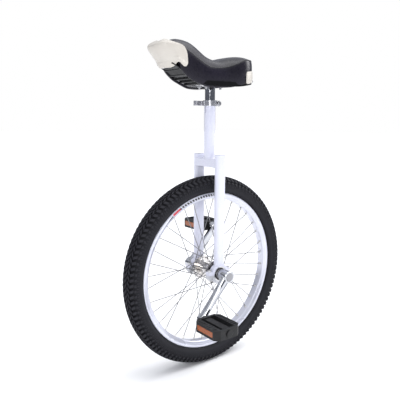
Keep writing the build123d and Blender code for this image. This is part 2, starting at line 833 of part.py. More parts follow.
# ---- seat clamp and its quick-release lever ----
collar_radius = seat_tube_radius + collar_wall
skewer_offset = seat_tube_radius + skewer_stand_off
collar_bottom = seat_tube_top + collar_lip - collar_height
collar_middle = collar_bottom + collar_height / 2
ear_end = skewer_offset + skewer_radius + ear_margin
ear_out = collar_gap / 2 + ear_thickness
pivot_offset = ear_out + pivot_stand_off

with BuildPart() as seat_clamp_collar:
    with BuildSketch(Plane.XY.offset(collar_bottom)):
        Circle(collar_radius)
        with Locations((-ear_end / 2, 0)):
            Rectangle(ear_end, 2 * ear_out)
    extrude(amount=collar_height)
    with BuildSketch(Plane.XY.offset(collar_bottom)):
        Circle(seat_tube_radius + press_clearance)
    extrude(amount=seat_tube_top - collar_bottom, mode=Mode.SUBTRACT)
    with BuildSketch(Plane.XY.offset(collar_bottom)):
        Circle(post_radius + post_fit)
        with Locations((-ear_end / 2, 0)):
            Rectangle(ear_end, collar_gap)
    extrude(amount=collar_height, mode=Mode.SUBTRACT)
    with BuildSketch(across(-skewer_offset, -ear_out, collar_middle)):
        Circle(skewer_radius + press_clearance)
    extrude(amount=2 * ear_out, mode=Mode.SUBTRACT)
finish(seat_clamp_collar, "seat_clamp_collar")

nut_end = ear_out + clamp_nut_thickness
lever_inner = collar_radius + lever_clearance
lever_outer = lever_inner + lever_thickness
cam_radius = lever_outer - pivot_offset

with BuildPart() as clamp_skewer:
    with BuildSketch(across(-skewer_offset, -pivot_offset, collar_middle)):
        Circle(skewer_radius)
    extrude(amount=pivot_offset + nut_end + skewer_tail)
    with BuildSketch(Plane.XY.offset(collar_middle - lever_height / 2)):
        with Locations((-skewer_offset, -pivot_offset)):
            Circle(pivot_radius)
    extrude(amount=lever_height)
finish(clamp_skewer, "clamp_skewer")

with BuildPart() as clamp_nut:
    with BuildSketch(across(-skewer_offset, ear_out, collar_middle)):
        Circle(clamp_nut_radius)
        Circle(skewer_radius + press_clearance, mode=Mode.SUBTRACT)
        with PolarLocations(clamp_nut_radius, knurl_count):
            Circle(knurl_radius, mode=Mode.SUBTRACT)
    extrude(amount=clamp_nut_thickness)
finish(clamp_nut, "clamp_nut")

with BuildPart() as clamp_cam_seat:
    with BuildSketch(across(-skewer_offset, -ear_out, collar_middle, -1)):
        Rectangle(cam_seat_width, lever_height)
        Circle(skewer_radius + press_clearance, mode=Mode.SUBTRACT)
    extrude(amount=pivot_offset - ear_out)
    with BuildSketch(Plane.XY.offset(collar_middle - lever_height)):
        with Locations((-skewer_offset, -pivot_offset)):
            Circle(cam_radius + running_clearance)
    extrude(amount=2 * lever_height, mode=Mode.SUBTRACT)
    with BuildSketch(Plane.XY.offset(collar_middle - lever_height)):
        Circle(collar_radius + press_clearance)
    extrude(amount=2 * lever_height, mode=Mode.SUBTRACT)
finish(clamp_cam_seat, "clamp_cam_seat")

with BuildPart() as clamp_lever:
    with BuildSketch(Plane.XY.offset(collar_middle - lever_height / 2)):
        with Locations((-skewer_offset, -pivot_offset)):
            Circle(cam_radius)
        with BuildLine():
            Polyline(
                (-skewer_offset, -lever_outer),
                (lever_bend, -lever_outer),
                (lever_tip_reach, -lever_outer - lever_tip_flare),
                (lever_tip_reach, -lever_inner - lever_tip_flare),
                (lever_bend, -lever_inner),
                (-skewer_offset, -lever_inner),
                close=True,
            )
        make_face()
    extrude(amount=lever_height)
    with BuildSketch(Plane.XY.offset(collar_middle - fork_gap / 2)):
        with Locations((-skewer_offset, -pivot_offset)):
            Circle(cam_radius + fork_clearance)
            with Locations((0, cam_radius)):
                Rectangle(2 * cam_radius, 2 * cam_radius)
    extrude(amount=fork_gap, mode=Mode.SUBTRACT)
    with BuildSketch(Plane.XY.offset(collar_middle - lever_height)):
        with Locations((-skewer_offset, -pivot_offset)):
            Circle(pivot_radius + running_clearance)
    extrude(amount=2 * lever_height, mode=Mode.SUBTRACT)
finish(clamp_lever, "clamp_lever")


# ---- seatpost, its plate and the saddle ----
post_top = saddle_height + base_depth - base_skin - plate_thickness

with BuildPart() as seatpost:
    with BuildSketch(Plane.XY.offset(post_top - post_length)):
        Circle(post_radius)
        Circle(post_radius - post_wall, mode=Mode.SUBTRACT)
    extrude(amount=post_length)
finish(seatpost, "seatpost")

saddle_bolt_spots = [
    (x * saddle_bolt_spacing_x / 2, y * saddle_bolt_spacing_y / 2) for x in (1, -1) for y in (1, -1)
]

with BuildPart() as seatpost_plate:
    with BuildSketch(Plane.XY.offset(post_top)):
        RectangleRounded(plate_length, plate_width, plate_corner)
        with Locations(*saddle_bolt_spots):
            Circle(saddle_bolt_radius + saddle_bolt_clearance, mode=Mode.SUBTRACT)
    extrude(amount=plate_thickness)
finish(seatpost_plate, "seatpost_plate")

# Heights of the saddle's curves above saddle_height, at distances forward of the seatpost.
top_curve = [
    (-150, 60), (-117, 69), (-80, 79), (-45, 76), (-10, 68), (15, 66), (40, 79),
    (62, 95), (85, 104), (107, 106), (135, 98), (160, 78), (190, 50),
]
skirt_curve = [
    (-150, 24), (-117, 16), (-60, 7), (-16, -2), (14, -5.5), (41, -6.5),
    (74, 3), (108, 27), (118, 35), (190, 60),
]
base_curve = [
    (-150, 22), (-117, 15), (-60, 4), (-34, 0.4), (0, 0), (34, 0.4),
    (70, 6), (100, 16), (130, 28), (160, 43), (190, 58),
]
# The front bumper's outline seen from the side, forward of saddle_front and above saddle_height.
bumper_side = [
    (-64, 66), (-57, 82), (-44, 88), (-14, 88), (4, 80), (10, 70), (10, 30),
    (-2, 30), (-8, 42), (-18, 48), (-34, 49), (-44, 43), (-54, 37), (-60, 42), (-65, 54),
]
crown_drop = 34.0
crown_reach = 90.0
far_side = 120.0
far_front = saddle_front + 60
far_rear = saddle_rear - 60


def plan_outline(grow):
    """The saddle's outline from above, grown outward by grow."""
    nose_centre = (saddle_front - nose_length, 0)
    rear_centre = (saddle_rear + rear_length, 0)
    nose_half = nose_half_width + grow
    waist_half = waist_half_width + grow
    rear_half = rear_half_width + grow
    with BuildSketch() as outline:
        with BuildLine():
            EllipticalCenterArc(nose_centre, nose_length + grow, nose_half, -90, arc_size=180)
            EllipticalCenterArc(rear_centre, rear_length + grow, rear_half, 90, arc_size=180)
            for side in (1, -1):
                Spline(
                    (nose_centre[0], side * nose_half),
                    (waist_place, side * waist_half),
                    (rear_centre[0], side * rear_half),
                    tangents=[(-1, 0), (-1, 0)],
                )
        make_face()
    return outline.sketch


def beneath(curve, lift):
    """Everything below one of the saddle's curves, raised by lift."""
    with BuildPart() as region:
        with BuildSketch(Plane.XZ):
            with BuildLine():
                points = [(x, saddle_height + height + lift) for x, height in curve]
                Spline(*points)
                front_foot = (points[-1][0], crossbar_top)
                rear_foot = (points[0][0], crossbar_top)
                Polyline(points[-1], front_foot, rear_foot, points[0])
            make_face()
        extrude(amount=far_side, both=True)
    return region.part


def saddle_block(inset):
    """The crowned body of the saddle, inside its skin by inset, with the skirt's edge not yet cut."""
    with BuildPart() as block:
        for x, height in top_curve:
            top = saddle_height + height - inset
            edge = top - crown_drop
            with BuildSketch(Plane(origin=(x, 0, 0), x_dir=(0, 1, 0), z_dir=(1, 0, 0))):
                with BuildLine():
                    ThreePointArc((-crown_reach, edge), (0, top), (crown_reach, edge))
                    Polyline(
                        (crown_reach, edge),
                        (crown_reach, crossbar_top),
                        (-crown_reach, crossbar_top),
                        (-crown_reach, edge),
                    )
                make_face()
        loft()
        with BuildSketch(Plane.XY.offset(crossbar_top)):
            add(plan_outline(-inset))
        extrude(amount=saddle_height, mode=Mode.INTERSECT)
    return block.part


def tail_screw_plane(side):
    """The plane square to the saddle's tail where one rear bumper screw's head sits."""
    turn = radians(tail_screw_angle)
    reach = bumper_gap + bumper_thickness + screw_head_lift
    normal = Vector(-cos(turn) / rear_length, side * sin(turn) / rear_half_width, 0).normalized()
    spot_x = saddle_rear + rear_length - rear_length * cos(turn)
    spot = Vector(spot_x, side * rear_half_width * sin(turn), saddle_height + tail_screw_rise)
    return Plane(origin=spot + normal * reach, z_dir=normal)


tail_screw_planes = [tail_screw_plane(side) for side_name, side in sides]

with BuildPart() as saddle_cover:
    add(saddle_block(0))
    add(saddle_block(cover_thickness), mode=Mode.SUBTRACT)
    add(beneath(skirt_curve, 0), mode=Mode.SUBTRACT)
    with BuildSketch(*tail_screw_planes):
        Circle(screw_radius + screw_clearance)
    extrude(amount=-2 * screw_length, both=True, mode=Mode.SUBTRACT)
finish(saddle_cover, "saddle_cover")


def slab(low_x, high_x, half_y, low_z, high_z):
    """A plain block between two stations of the saddle, as wide as half_y each way."""
    with BuildPart() as block:
        with Locations(((low_x + high_x) / 2, 0, (low_z + high_z) / 2)):
            Box(high_x - low_x, 2 * half_y, high_z - low_z)
    return block.part


def outline_block(grow):
    """The saddle's outline, grown outward by grow, standing through the saddle's whole height."""
    with BuildPart() as block:
        with BuildSketch(Plane.XY.offset(crossbar_top)):
            add(plan_outline(grow))
        extrude(amount=saddle_height)
    return block.part


base_outline = -(cover_thickness + base_inset)
base_floor = saddle_height - base_reach_down
base_ceiling = saddle_height + base_reach_up
rib_count = int((tray_front - plate_length / 2) // rib_pitch) - 1
rib_places = [tray_front - base_wall - rib_pitch * (count + 1) for count in range(rib_count)]
tail_places = [-place for place in rib_places if saddle_rear + rib_pitch < -place]
bolt_head_floor = saddle_height + base_depth
lip_screw_spots = [(lip_screw_place, lip_screw_spread), (lip_screw_place, -lip_screw_spread)]


def base_pocket():
    """The hollow under the saddle's base, with its ribs left standing."""
    with BuildPart() as pocket:
        add(beneath(base_curve, base_depth - base_skin))
        add(outline_block(base_outline - base_wall), mode=Mode.INTERSECT)
        add(slab(tray_front - base_wall, far_front, far_side, base_floor, base_ceiling), mode=Mode.SUBTRACT)
        for place in rib_places + tail_places:
            add(slab(place - rib_thickness, place, far_side, base_floor, base_ceiling), mode=Mode.SUBTRACT)
    return pocket.part


with BuildPart() as saddle_base:
    add(beneath(base_curve, base_depth))
    add(outline_block(base_outline), mode=Mode.INTERSECT)
    add(beneath(base_curve, 0), mode=Mode.SUBTRACT)
    add(slab(tray_front, far_front, far_side, base_floor, base_ceiling), mode=Mode.SUBTRACT)
    add(base_pocket(), mode=Mode.SUBTRACT)
    plate_reach = plate_length / 2 + plate_gap
    plate_level = post_top + plate_thickness
    plate_seat = slab(-plate_reach, plate_reach, plate_width / 2 + plate_gap, base_floor, plate_level)
    add(plate_seat, mode=Mode.SUBTRACT)
    with BuildSketch(Plane.XY.offset(post_top)):
        with Locations(*saddle_bolt_spots):
            Circle(saddle_bolt_radius + saddle_bolt_clearance)
    extrude(amount=base_depth * 2, mode=Mode.SUBTRACT)
    with BuildSketch(Plane.XY.offset(bolt_head_floor)):
        with Locations(*saddle_bolt_spots):
            Circle(saddle_bolt_head_radius + saddle_bolt_clearance)
    extrude(amount=base_depth, mode=Mode.SUBTRACT)
    with BuildSketch(Plane.XY.offset(base_floor)):
        with Locations(*lip_screw_spots):
            Circle(screw_radius + screw_clearance)
    extrude(amount=base_ceiling - base_floor, mode=Mode.SUBTRACT)
    with BuildSketch(*tail_screw_planes):
        Circle(screw_radius + screw_clearance)
    extrude(amount=-2 * screw_length, mode=Mode.SUBTRACT)
finish(saddle_base, "saddle_base")

with BuildPart() as saddle_bolts:
    with BuildSketch(Plane.XY.offset(bolt_head_floor)):
        with Locations(*saddle_bolt_spots):
            Circle(saddle_bolt_head_radius)
    extrude(amount=saddle_bolt_head_thickness)
    with BuildSketch(Plane.XY.offset(bolt_head_floor)):
        with Locations(*saddle_bolt_spots):
            Circle(saddle_bolt_radius)
    extrude(amount=-saddle_bolt_length)
finish(saddle_bolts, "saddle_bolts")

with BuildPart() as saddle_nuts:
    with BuildSketch(Plane.XY.offset(post_top - saddle_nut_thickness)):
        with Locations(*saddle_bolt_spots):
            RegularPolygon(saddle_nut_radius, 6)
            Circle(saddle_bolt_radius + press_clearance, mode=Mode.SUBTRACT)
    extrude(amount=saddle_nut_thickness)
finish(saddle_nuts, "saddle_nuts")

with BuildPart() as saddle_foam:
    add(saddle_block(cover_thickness + foam_gap))
    add(beneath(base_curve, base_depth + foam_gap), mode=Mode.SUBTRACT)
    with BuildSketch(Plane.XY.offset(bolt_head_floor + saddle_bolt_head_thickness + foam_gap)):
        with Locations(*saddle_bolt_spots):
            Circle(saddle_bolt_head_radius + foam_gap)
    extrude(amount=-2 * base_depth, mode=Mode.SUBTRACT)
finish(saddle_foam, "saddle_foam")


def bumper_shell():
    """The band that stands just clear of the cover all the way round the saddle's outline."""
    with BuildPart() as band:
        add(outline_block(bumper_gap + bumper_thickness))
        add(outline_block(bumper_gap), mode=Mode.SUBTRACT)
    return band.part


def bumper_lip():
    """The short shelf at the foot of the front bumper, which follows the base and screws up into it."""
    with BuildPart() as lip:
        add(outline_block(bumper_gap + bumper_thickness))
        add(beneath(base_curve, -press_clearance), mode=Mode.INTERSECT)
        add(beneath(base_curve, -lip_thickness), mode=Mode.SUBTRACT)
        add(slab(lip_start, far_front, lip_half_width, base_floor, base_ceiling), mode=Mode.INTERSECT)
    return lip.part


with BuildPart() as front_bumper:
    add(bumper_shell())
    with BuildSketch(Plane.XZ):
        with BuildLine():
            Polyline(*[(saddle_front + x, saddle_height + z) for x, z in bumper_side], close=True)
        make_face()
    extrude(amount=nose_half_width * 2, both=True, mode=Mode.INTERSECT)
    add(bumper_lip())
    with BuildSketch(Plane.XY.offset(base_floor)):
        with Locations(*lip_screw_spots):
            Circle(screw_radius + screw_clearance)
    extrude(amount=base_ceiling - base_floor, mode=Mode.SUBTRACT)
finish(front_bumper, "front_bumper")

with BuildPart() as rear_bumper:
    add(bumper_shell())
    add(beneath(skirt_curve, rear_bumper_height), mode=Mode.INTERSECT)
    add(beneath(skirt_curve, 0), mode=Mode.SUBTRACT)
    add(slab(far_rear, rear_bumper_start, far_side, base_floor, base_ceiling), mode=Mode.INTERSECT)
    with BuildSketch(*tail_screw_planes):
        Circle(screw_radius + screw_clearance)
    extrude(amount=-2 * screw_length, both=True, mode=Mode.SUBTRACT)
finish(rear_bumper, "rear_bumper")

with BuildPart() as bumper_screws:
    lip_level = saddle_height + lip_screw_rise
    with BuildSketch(Plane.XY.offset(lip_level)):
        with Locations(*lip_screw_spots):
            Circle(screw_head_radius)
    extrude(amount=-screw_head_thickness)
    with BuildSketch(Plane.XY.offset(lip_level)):
        with Locations(*lip_screw_spots):
            Circle(screw_radius)
    extrude(amount=screw_length)
    with BuildSketch(*tail_screw_planes):
        Circle(screw_head_radius)
    extrude(amount=screw_head_thickness)
    with BuildSketch(*tail_screw_planes):
        Circle(screw_radius)
    extrude(amount=-screw_length)
finish(bumper_screws, "bumper_screws")
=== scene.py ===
"""The looks of a 20 inch unicycle: a steel fork frame, a spoked wheel, cranks, pedals and a saddle.

Metres. X points forward, Y to the rider's left and Z up. The ground is at Z 0, below the axle.
"""
import json
from math import cos, pi, radians, sin

import bmesh
import bpy
from mathutils import Matrix, Vector


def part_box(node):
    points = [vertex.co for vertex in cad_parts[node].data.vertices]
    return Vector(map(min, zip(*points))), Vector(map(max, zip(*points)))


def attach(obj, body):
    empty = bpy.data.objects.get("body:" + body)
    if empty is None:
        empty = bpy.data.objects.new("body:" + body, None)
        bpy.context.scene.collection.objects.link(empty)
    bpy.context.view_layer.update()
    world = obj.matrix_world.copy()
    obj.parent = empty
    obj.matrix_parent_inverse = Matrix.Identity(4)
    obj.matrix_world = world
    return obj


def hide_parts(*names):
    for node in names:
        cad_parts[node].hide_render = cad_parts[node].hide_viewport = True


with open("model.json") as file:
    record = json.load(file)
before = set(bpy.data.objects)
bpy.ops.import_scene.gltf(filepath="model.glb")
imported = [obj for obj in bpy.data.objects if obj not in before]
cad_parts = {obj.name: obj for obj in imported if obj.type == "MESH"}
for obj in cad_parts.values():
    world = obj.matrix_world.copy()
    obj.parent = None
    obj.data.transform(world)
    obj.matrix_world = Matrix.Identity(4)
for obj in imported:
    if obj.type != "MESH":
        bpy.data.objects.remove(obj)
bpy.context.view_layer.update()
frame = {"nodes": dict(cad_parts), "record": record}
nodes = frame["nodes"]


# ---- Tyre ----
# A moulded rubber tyre with a wire bead each side, vulcanised in a mould that leaves the tread:
# zigzag blocks round the crown, lugs over the shoulders and fine ribs down to the sidewall.
tyre_low, tyre_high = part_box("tyre")
tyre_radius = (tyre_high.x - tyre_low.x) / 2
tyre_half_width = 0.0252
axle_height = (tyre_high.z + tyre_low.z) / 2
belly_radius = tyre_radius - tyre_half_width
casing_wall = 0.0030
air_radius = 0.0192
shoulder_growth = 0.0028
tread_depth = 0.0040
tread_pitches = 112
block_edge = 0.0006
block_root = 0.0010
block_draft = 0.0004
rib_from, rib_to, rib_length, rib_height = 76, 92, 0.18, 0.0010


class Wire:
    """One socket of a finish, so that a sum of sockets reads as a sum."""

    def __init__(self, finish, socket):
        self.finish = finish
        self.socket = socket

    def sum(self, operation, *values):
        return self.finish.node("ShaderNodeMath", {"operation": operation}, dict(enumerate(values)))

    def __add__(self, other):
        return self.sum("ADD", self, other)

    def __radd__(self, other):
        return self.sum("ADD", other, self)

    def __sub__(self, other):
        return self.sum("SUBTRACT", self, other)

    def __rsub__(self, other):
        return self.sum("SUBTRACT", other, self)

    def __mul__(self, other):
        return self.sum("MULTIPLY", self, other)

    def __rmul__(self, other):
        return self.sum("MULTIPLY", other, self)

    def __gt__(self, other):
        return self.sum("GREATER_THAN", self, other)

    def __lt__(self, other):
        return self.sum("LESS_THAN", self, other)


class Finish:
    """What a surface is finished with: one material, its shader and the nodes that vary it."""

    mix_share, mix_first, mix_second, mix_colour_out = 0, 6, 7, 2

    def __init__(self, name, **sockets):
        self.material = bpy.data.materials.new(name)
        self.material.use_nodes = True
        self.tree = self.material.node_tree
        self.shader = self.tree.nodes["Principled BSDF"]
        for socket, value in sockets.items():
            self.feed(socket.replace("_", " ").title().replace("Ior", "IOR"), value)

    def feed(self, socket, value):
        slot = self.shader.inputs[socket]
        if isinstance(value, Wire):
            self.tree.links.new(value.socket, slot)
        elif slot.type == "RGBA":
            slot.default_value = (*value, 1)
        else:
            slot.default_value = value

    def node(self, kind, settings=None, inputs=None, out=0):
        made = self.tree.nodes.new(kind)
        for name, value in (settings or {}).items():
            if name != "stops":
                setattr(made, name, value)
                continue
            ramp = made.color_ramp.elements
            for count, (height, tint) in enumerate(value):
                stop = ramp[count] if count < 2 else ramp.new(height)
                stop.position, stop.color = height, (*tint, 1)
        for name, value in (inputs or {}).items():
            if isinstance(value, Wire):
                self.tree.links.new(value.socket, made.inputs[name])
            elif made.inputs[name].type == "RGBA":
                made.inputs[name].default_value = (*value, 1)
            else:
                made.inputs[name].default_value = value
        return Wire(self, made.outputs[out])

    def place(self):
        """Where a point of the surface is on the part, which moves with the piece."""
        return self.node("ShaderNodeTexCoord", out="Object")

    def noise(self, scale, detail=3.0, stretch=(1, 1, 1)):
        spot = self.node("ShaderNodeMapping", None, {"Vector": self.place(), "Scale": stretch})
        return self.node("ShaderNodeTexNoise", None, {"Vector": spot, "Scale": scale, "Detail": detail})

    def between(self, share, first, second):
        """The first colour where share is 0 and the second where it is 1."""
        inputs = {self.mix_share: share, self.mix_first: first, self.mix_second: second}
        return self.node("ShaderNodeMix", {"data_type": "RGBA"}, inputs, out=self.mix_colour_out)

    def root(self, value):
        return self.node("ShaderNodeMath", {"operation": "SQRT"}, {0: value})

    def spread(self, value, low, high, from_low=0.3, from_high=0.7):
        """The value stretched from its own range, by default that of a noise, to low and high."""
        names = {"Value": value, "From Min": from_low, "From Max": from_high, "To Min": low, "To Max": high}
        return self.node("ShaderNodeMapRange", None, names)

    def bump(self, height, strength, distance):
        inputs = {"Height": height, "Strength": strength, "Distance": distance}
        self.feed("Normal", self.node("ShaderNodeBump", None, inputs))

    def axes(self):
        """The three coordinates of a point of the surface, each as a wire."""
        spot = self.place()
        return [self.node("ShaderNodeSeparateXYZ", None, {"Vector": spot}, out=axis) for axis in "XYZ"]


def dress(piece, finish, body=None, smooth=40):
    """Gives a piece its finish, rounds its shading below an angle and lets it ride on a body."""
    piece.data.materials.clear()
    piece.data.materials.append(finish.material)
    if smooth:
        piece.data.shade_smooth()
        piece.data.set_sharp_from_angle(angle=radians(smooth))
    if body:
        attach(piece, body)
    return piece


def piece_from(name, work):
    """A new piece from finished mesh work, with its faces turned outward."""
    bmesh.ops.recalc_face_normals(work, faces=work.faces)
    mesh = bpy.data.meshes.new(name)
    work.to_mesh(mesh)
    work.free()
    piece = bpy.data.objects.new(name, mesh)
    bpy.context.collection.objects.link(piece)
    return piece


def skin(work, rings, closed_loop=False):
    """Faces between rings of points, where closed_loop joins the last ring to the first."""
    rows = [[work.verts.new(point) for point in ring] for ring in rings]
    pairs = list(zip(rows, rows[1:])) + ([(rows[-1], rows[0])] if closed_loop else [])
    for row, after in pairs:
        for spot in range(len(row)):
            step = (spot + 1) % len(row)
            work.faces.new((row[spot], row[step], after[step], after[spot]))
    return rows


def turned(work, profile, steps, centre=None):
    """A closed section of (distance along the axle line, radius) points turned about that line."""
    middle = centre or Vector((0, 0, axle_height))
    rings = []
    for step in range(steps):
        angle = 2 * pi * step / steps
        rings.append([
            middle + Vector((radius * cos(angle), across, radius * sin(angle)))
            for across, radius in profile
        ])
    skin(work, rings, closed_loop=True)


def casing_radius(lean):
    """How far the casing stands from the middle of its air chamber, at a lean from its crown."""
    return tyre_half_width - tread_depth + shoulder_growth * sin(lean) ** 2


def tyre_spot(turn, lean, radius):
    """A point of the tyre: turn goes round the axle, lean goes round the casing from its crown."""
    reach = belly_radius + radius * cos(lean)
    return Vector((reach * cos(turn), radius * sin(lean), axle_height + reach * sin(turn)))


def tread_block(work, turn, low, high, skew, length, height):
    """One moulded block between two leans, skewed along the tyre, with a broken top edge."""
    pitch = 2 * pi / tread_pitches
    rows = 3
    levels = []
    for rise, inset in ((-block_root, -block_draft), (height - block_edge, 0.0), (height, block_edge)):
        grid = []
        for row in range(rows):
            share = row / (rows - 1)
            side = inset / tyre_half_width * (1 - 2 * share)
            lean = radians(low + (high - low) * share) + side * (1 if high > low else -1)
            middle = turn + skew * (share - 0.5) * pitch
            half = (length * pitch / 2) - inset / tyre_radius
            radius = casing_radius(lean) + rise
            grid.append([work.verts.new(tyre_spot(middle + end * half, lean, radius)) for end in (-1, 1)])
        levels.append(grid)
    for lower, upper in zip(levels, levels[1:]):
        around = [(row, 0) for row in range(rows)] + [(row, 1) for row in reversed(range(rows))]
        for here, there in zip(around, around[1:] + around[:1]):
            work.faces.new((
                lower[here[0]][here[1]], lower[there[0]][there[1]],
                upper[there[0]][there[1]], upper[here[0]][here[1]],
            ))
    for grid in (levels[0], levels[-1]):
        for row, after in zip(grid, grid[1:]):
            work.faces.new((row[0], row[1], after[1], after[0]))


work = bmesh.new()
wall = [
    (-0.0104, 0.2045), (-0.0131, 0.2040), (-0.0131, 0.2098), (-0.0150, 0.2112), (-0.0190, 0.2140),
    (-0.0192, 0.2148), (-0.0210, 0.2163), (-0.0228, 0.2195),
]
other_wall = [(-across, radius) for across, radius in reversed(wall)]
crown = []
for step in range(-96, 97, 6):
    lean = radians(step)
    crown.append((casing_radius(lean) * sin(lean), belly_radius + casing_radius(lean) * cos(lean)))
inside = []
for step in range(96, -97, -12):
    lean = radians(step)
    inside.append(((casing_radius(lean) - casing_wall) * sin(lean), belly_radius + air_radius * cos(lean)))
turned(work, wall + crown + other_wall + inside, 288)
half_pitch = pi / tread_pitches
tread_rows = [
    # phase in half pitches, lean from, lean to, skew, length, height
    (0.0, 2, 16, 0.75, 0.60, tread_depth),
    (0.9, 20, 34, -0.75, 0.58, tread_depth),
    (0.2, 38, 60, 0.30, 0.50, 0.0046),
    (0.2, 63, 75, 0.0, 0.44, 0.0026),
]
for pitch in range(tread_pitches):
    turn = 2 * pi * pitch / tread_pitches
    for side in (1, -1):
        shift = half_pitch if side > 0 else 0
        for phase, low, high, skew, length, height in tread_rows:
            start = turn + shift + half_pitch * phase
            tread_block(work, start, side * low, side * high, side * skew, length, height)
        for rib in range(2):
            start = turn + half_pitch * rib
            tread_block(work, start, side * rib_from, side * rib_to, 0.0, rib_length, rib_height)
tyre = piece_from("tyre_tread_and_walls", work)

black_rubber = Finish("tyre_black_rubber", roughness=0.62, specular_ior_level=0.12)
dust = black_rubber.spread(black_rubber.noise(60, 4), 0.0, 1.0)
grain = black_rubber.noise(900, 2)
tyre_x, tyre_y, tyre_z = black_rubber.axes()
lift = tyre_z - axle_height
past_belly = black_rubber.root(tyre_x * tyre_x + lift * lift) - belly_radius
skin_height = black_rubber.root(past_belly * past_belly + tyre_y * tyre_y)
# Painted light: the block tops get a lighter colour as a painted highlight, and the gaps between blocks keep
# the darker moulded colour as painted shade.
painted_tread_highlight_and_shade = black_rubber.spread(skin_height, 0.0, 1.0, tyre_half_width - tread_depth * 0.6, tyre_half_width)
moulded = black_rubber.between(dust, (0.006, 0.006, 0.008), (0.011, 0.011, 0.013))
black_rubber.feed("Base Color", black_rubber.between(painted_tread_highlight_and_shade, moulded, (0.026, 0.026, 0.031)))
black_rubber.feed("Roughness", black_rubber.spread(grain, 0.52, 0.72))
black_rubber.bump(grain, 0.25, 0.0004)
dress(tyre, black_rubber, "wheel", 32)
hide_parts("tyre")


# ---- Inner tube, rim tape and valve ----
# A butyl tube lies inside the tyre, and a woven tape keeps it off the nipple heads in the rim's well.
# The rubber-covered valve comes through the rim between two spokes.
tube_rubber = Finish("tube_butyl", base_color=(0.025, 0.025, 0.027), roughness=0.5)
tube_rubber.bump(tube_rubber.noise(500, 2), 0.2, 0.0003)
dress(nodes["inner_tube"], tube_rubber)
dress(nodes["valve_stem"], tube_rubber)

woven_tape = Finish("rim_tape_weave", roughness=0.85)
threads = {"Vector": woven_tape.place(), "Scale": 400.0}
weave = woven_tape.node("ShaderNodeTexWave", {"wave_type": "RINGS"}, threads)
woven_tape.feed("Base Color", woven_tape.between(weave, (0.62, 0.58, 0.50), (0.75, 0.72, 0.66)))
woven_tape.bump(weave, 0.3, 0.0003)
dress(nodes["rim_tape"], woven_tape)


# ---- Rim ----
# A rolled and welded aluminium section with hooked edges, satin anodised all over. A printed band on the
# left wall runs from a thin line, through a red mark, to a row of plain bars.
rim_low, rim_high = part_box("rim")
rim_radius = (rim_high.x - rim_low.x) / 2
rim_half = (rim_high.y - rim_low.y) / 2
rim_wall = 0.0020
bed_radius = 0.1940
bed_half = 0.0105
band_foot = bed_radius + 0.0064
band_head = rim_radius - 0.0030
bar_share, bars_a_degree, bar_slant = 0.30, 0.42, 60.0
bars_from, bars_to = 60.0, 97.0
red_from, red_to = 53.0, 60.0
line_from, line_to = 41.0, 52.5
line_growth = 0.0004
section = []
for side in (1, -1):
    half = [
        (bed_half * 0.55, bed_radius - 0.0003), (bed_half - 0.0010, bed_radius),
        (bed_half + 0.0004, bed_radius + 0.0010), (bed_half + 0.0014, bed_radius + 0.0036),
        (bed_half + 0.0026, bed_radius + 0.0056), (rim_half - 0.0010, bed_radius + 0.0074),
        (rim_half, bed_radius + 0.0088),
        (rim_half, rim_radius - 0.0016), (rim_half - 0.0003, rim_radius - 0.0006),
        (rim_half - 0.0010, rim_radius), (rim_half - rim_wall, rim_radius),
        (rim_half - rim_wall - 0.0003, rim_radius - 0.0010),
        (rim_half - rim_wall, rim_radius - 0.0070), (bed_half - 0.0008, rim_radius - 0.0072),
        (bed_half - rim_wall, bed_radius + 0.0026), (bed_half * 0.4, bed_radius + rim_wall),
    ]
    section += half if side > 0 else [(-across, radius) for across, radius in reversed(half)]
work = bmesh.new()
turned(work, section, 240)
rim = piece_from("rim_section", work)

satin_rim = Finish("rim_satin_aluminium", metallic=0.55, coat_weight=0.25, coat_roughness=0.12)
rim_x, rim_y, rim_z = satin_rim.axes()
rim_lift = rim_z - axle_height
turn_of = satin_rim.node("ShaderNodeMath", {"operation": "ARCTAN2"}, {0: rim_lift, 1: rim_x}) * (180 / pi)
reach_of = satin_rim.root(rim_x * rim_x + rim_lift * rim_lift)
on_band = (reach_of > band_foot) * (reach_of < band_head) * (rim_y > 0.0)
bar_phase = turn_of * bars_a_degree + reach_of * bar_slant
bars = satin_rim.node("ShaderNodeMath", {"operation": "FRACT"}, {0: bar_phase})
bar_mask = on_band * (bars > bar_share) * (turn_of > bars_from) * (turn_of < bars_to)
red_mask = on_band * (turn_of > red_from) * (turn_of < red_to)
line_top = band_foot + (turn_of - line_from) * line_growth
line_mask = on_band * (turn_of > line_from) * (turn_of < line_to) * (reach_of < line_top)
cloud = satin_rim.spread(satin_rim.noise(25, 3), 0.0, 1.0)
bare = satin_rim.between(cloud, (0.62, 0.63, 0.72), (0.68, 0.69, 0.77))
marked = satin_rim.between(bar_mask + line_mask, bare, (0.03, 0.03, 0.035))
satin_rim.feed("Base Color", satin_rim.between(red_mask, marked, (0.55, 0.03, 0.05)))
satin_rim.feed("Roughness", satin_rim.spread(satin_rim.noise(12, 2), 0.26, 0.32))
satin_rim.feed("Metallic", 0.55 * (1 - bar_mask - line_mask) * (1 - red_mask))
satin_rim.bump(satin_rim.noise(30, 1), 0.02, 0.0005)
dress(rim, satin_rim, "wheel", 50)
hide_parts("rim")


# ---- Spokes, nipples and eyelets ----
# Drawn stainless spokes, hooked through the hub's flanges and laced three times across each other.
# Plated brass nipples draw them tight through pressed eyelets in the rim's bed.
drawn_steel = Finish("spoke_stainless", metallic=1.0, base_color=(0.24, 0.24, 0.25))
drawn_steel.feed("Roughness", drawn_steel.spread(drawn_steel.noise(300, 2), 0.18, 0.34))
drawn_steel.bump(drawn_steel.noise(2000, 1), 0.04, 0.0001)
dress(nodes["spokes_left"], drawn_steel, smooth=60)
dress(nodes["spokes_right"], drawn_steel, smooth=60)

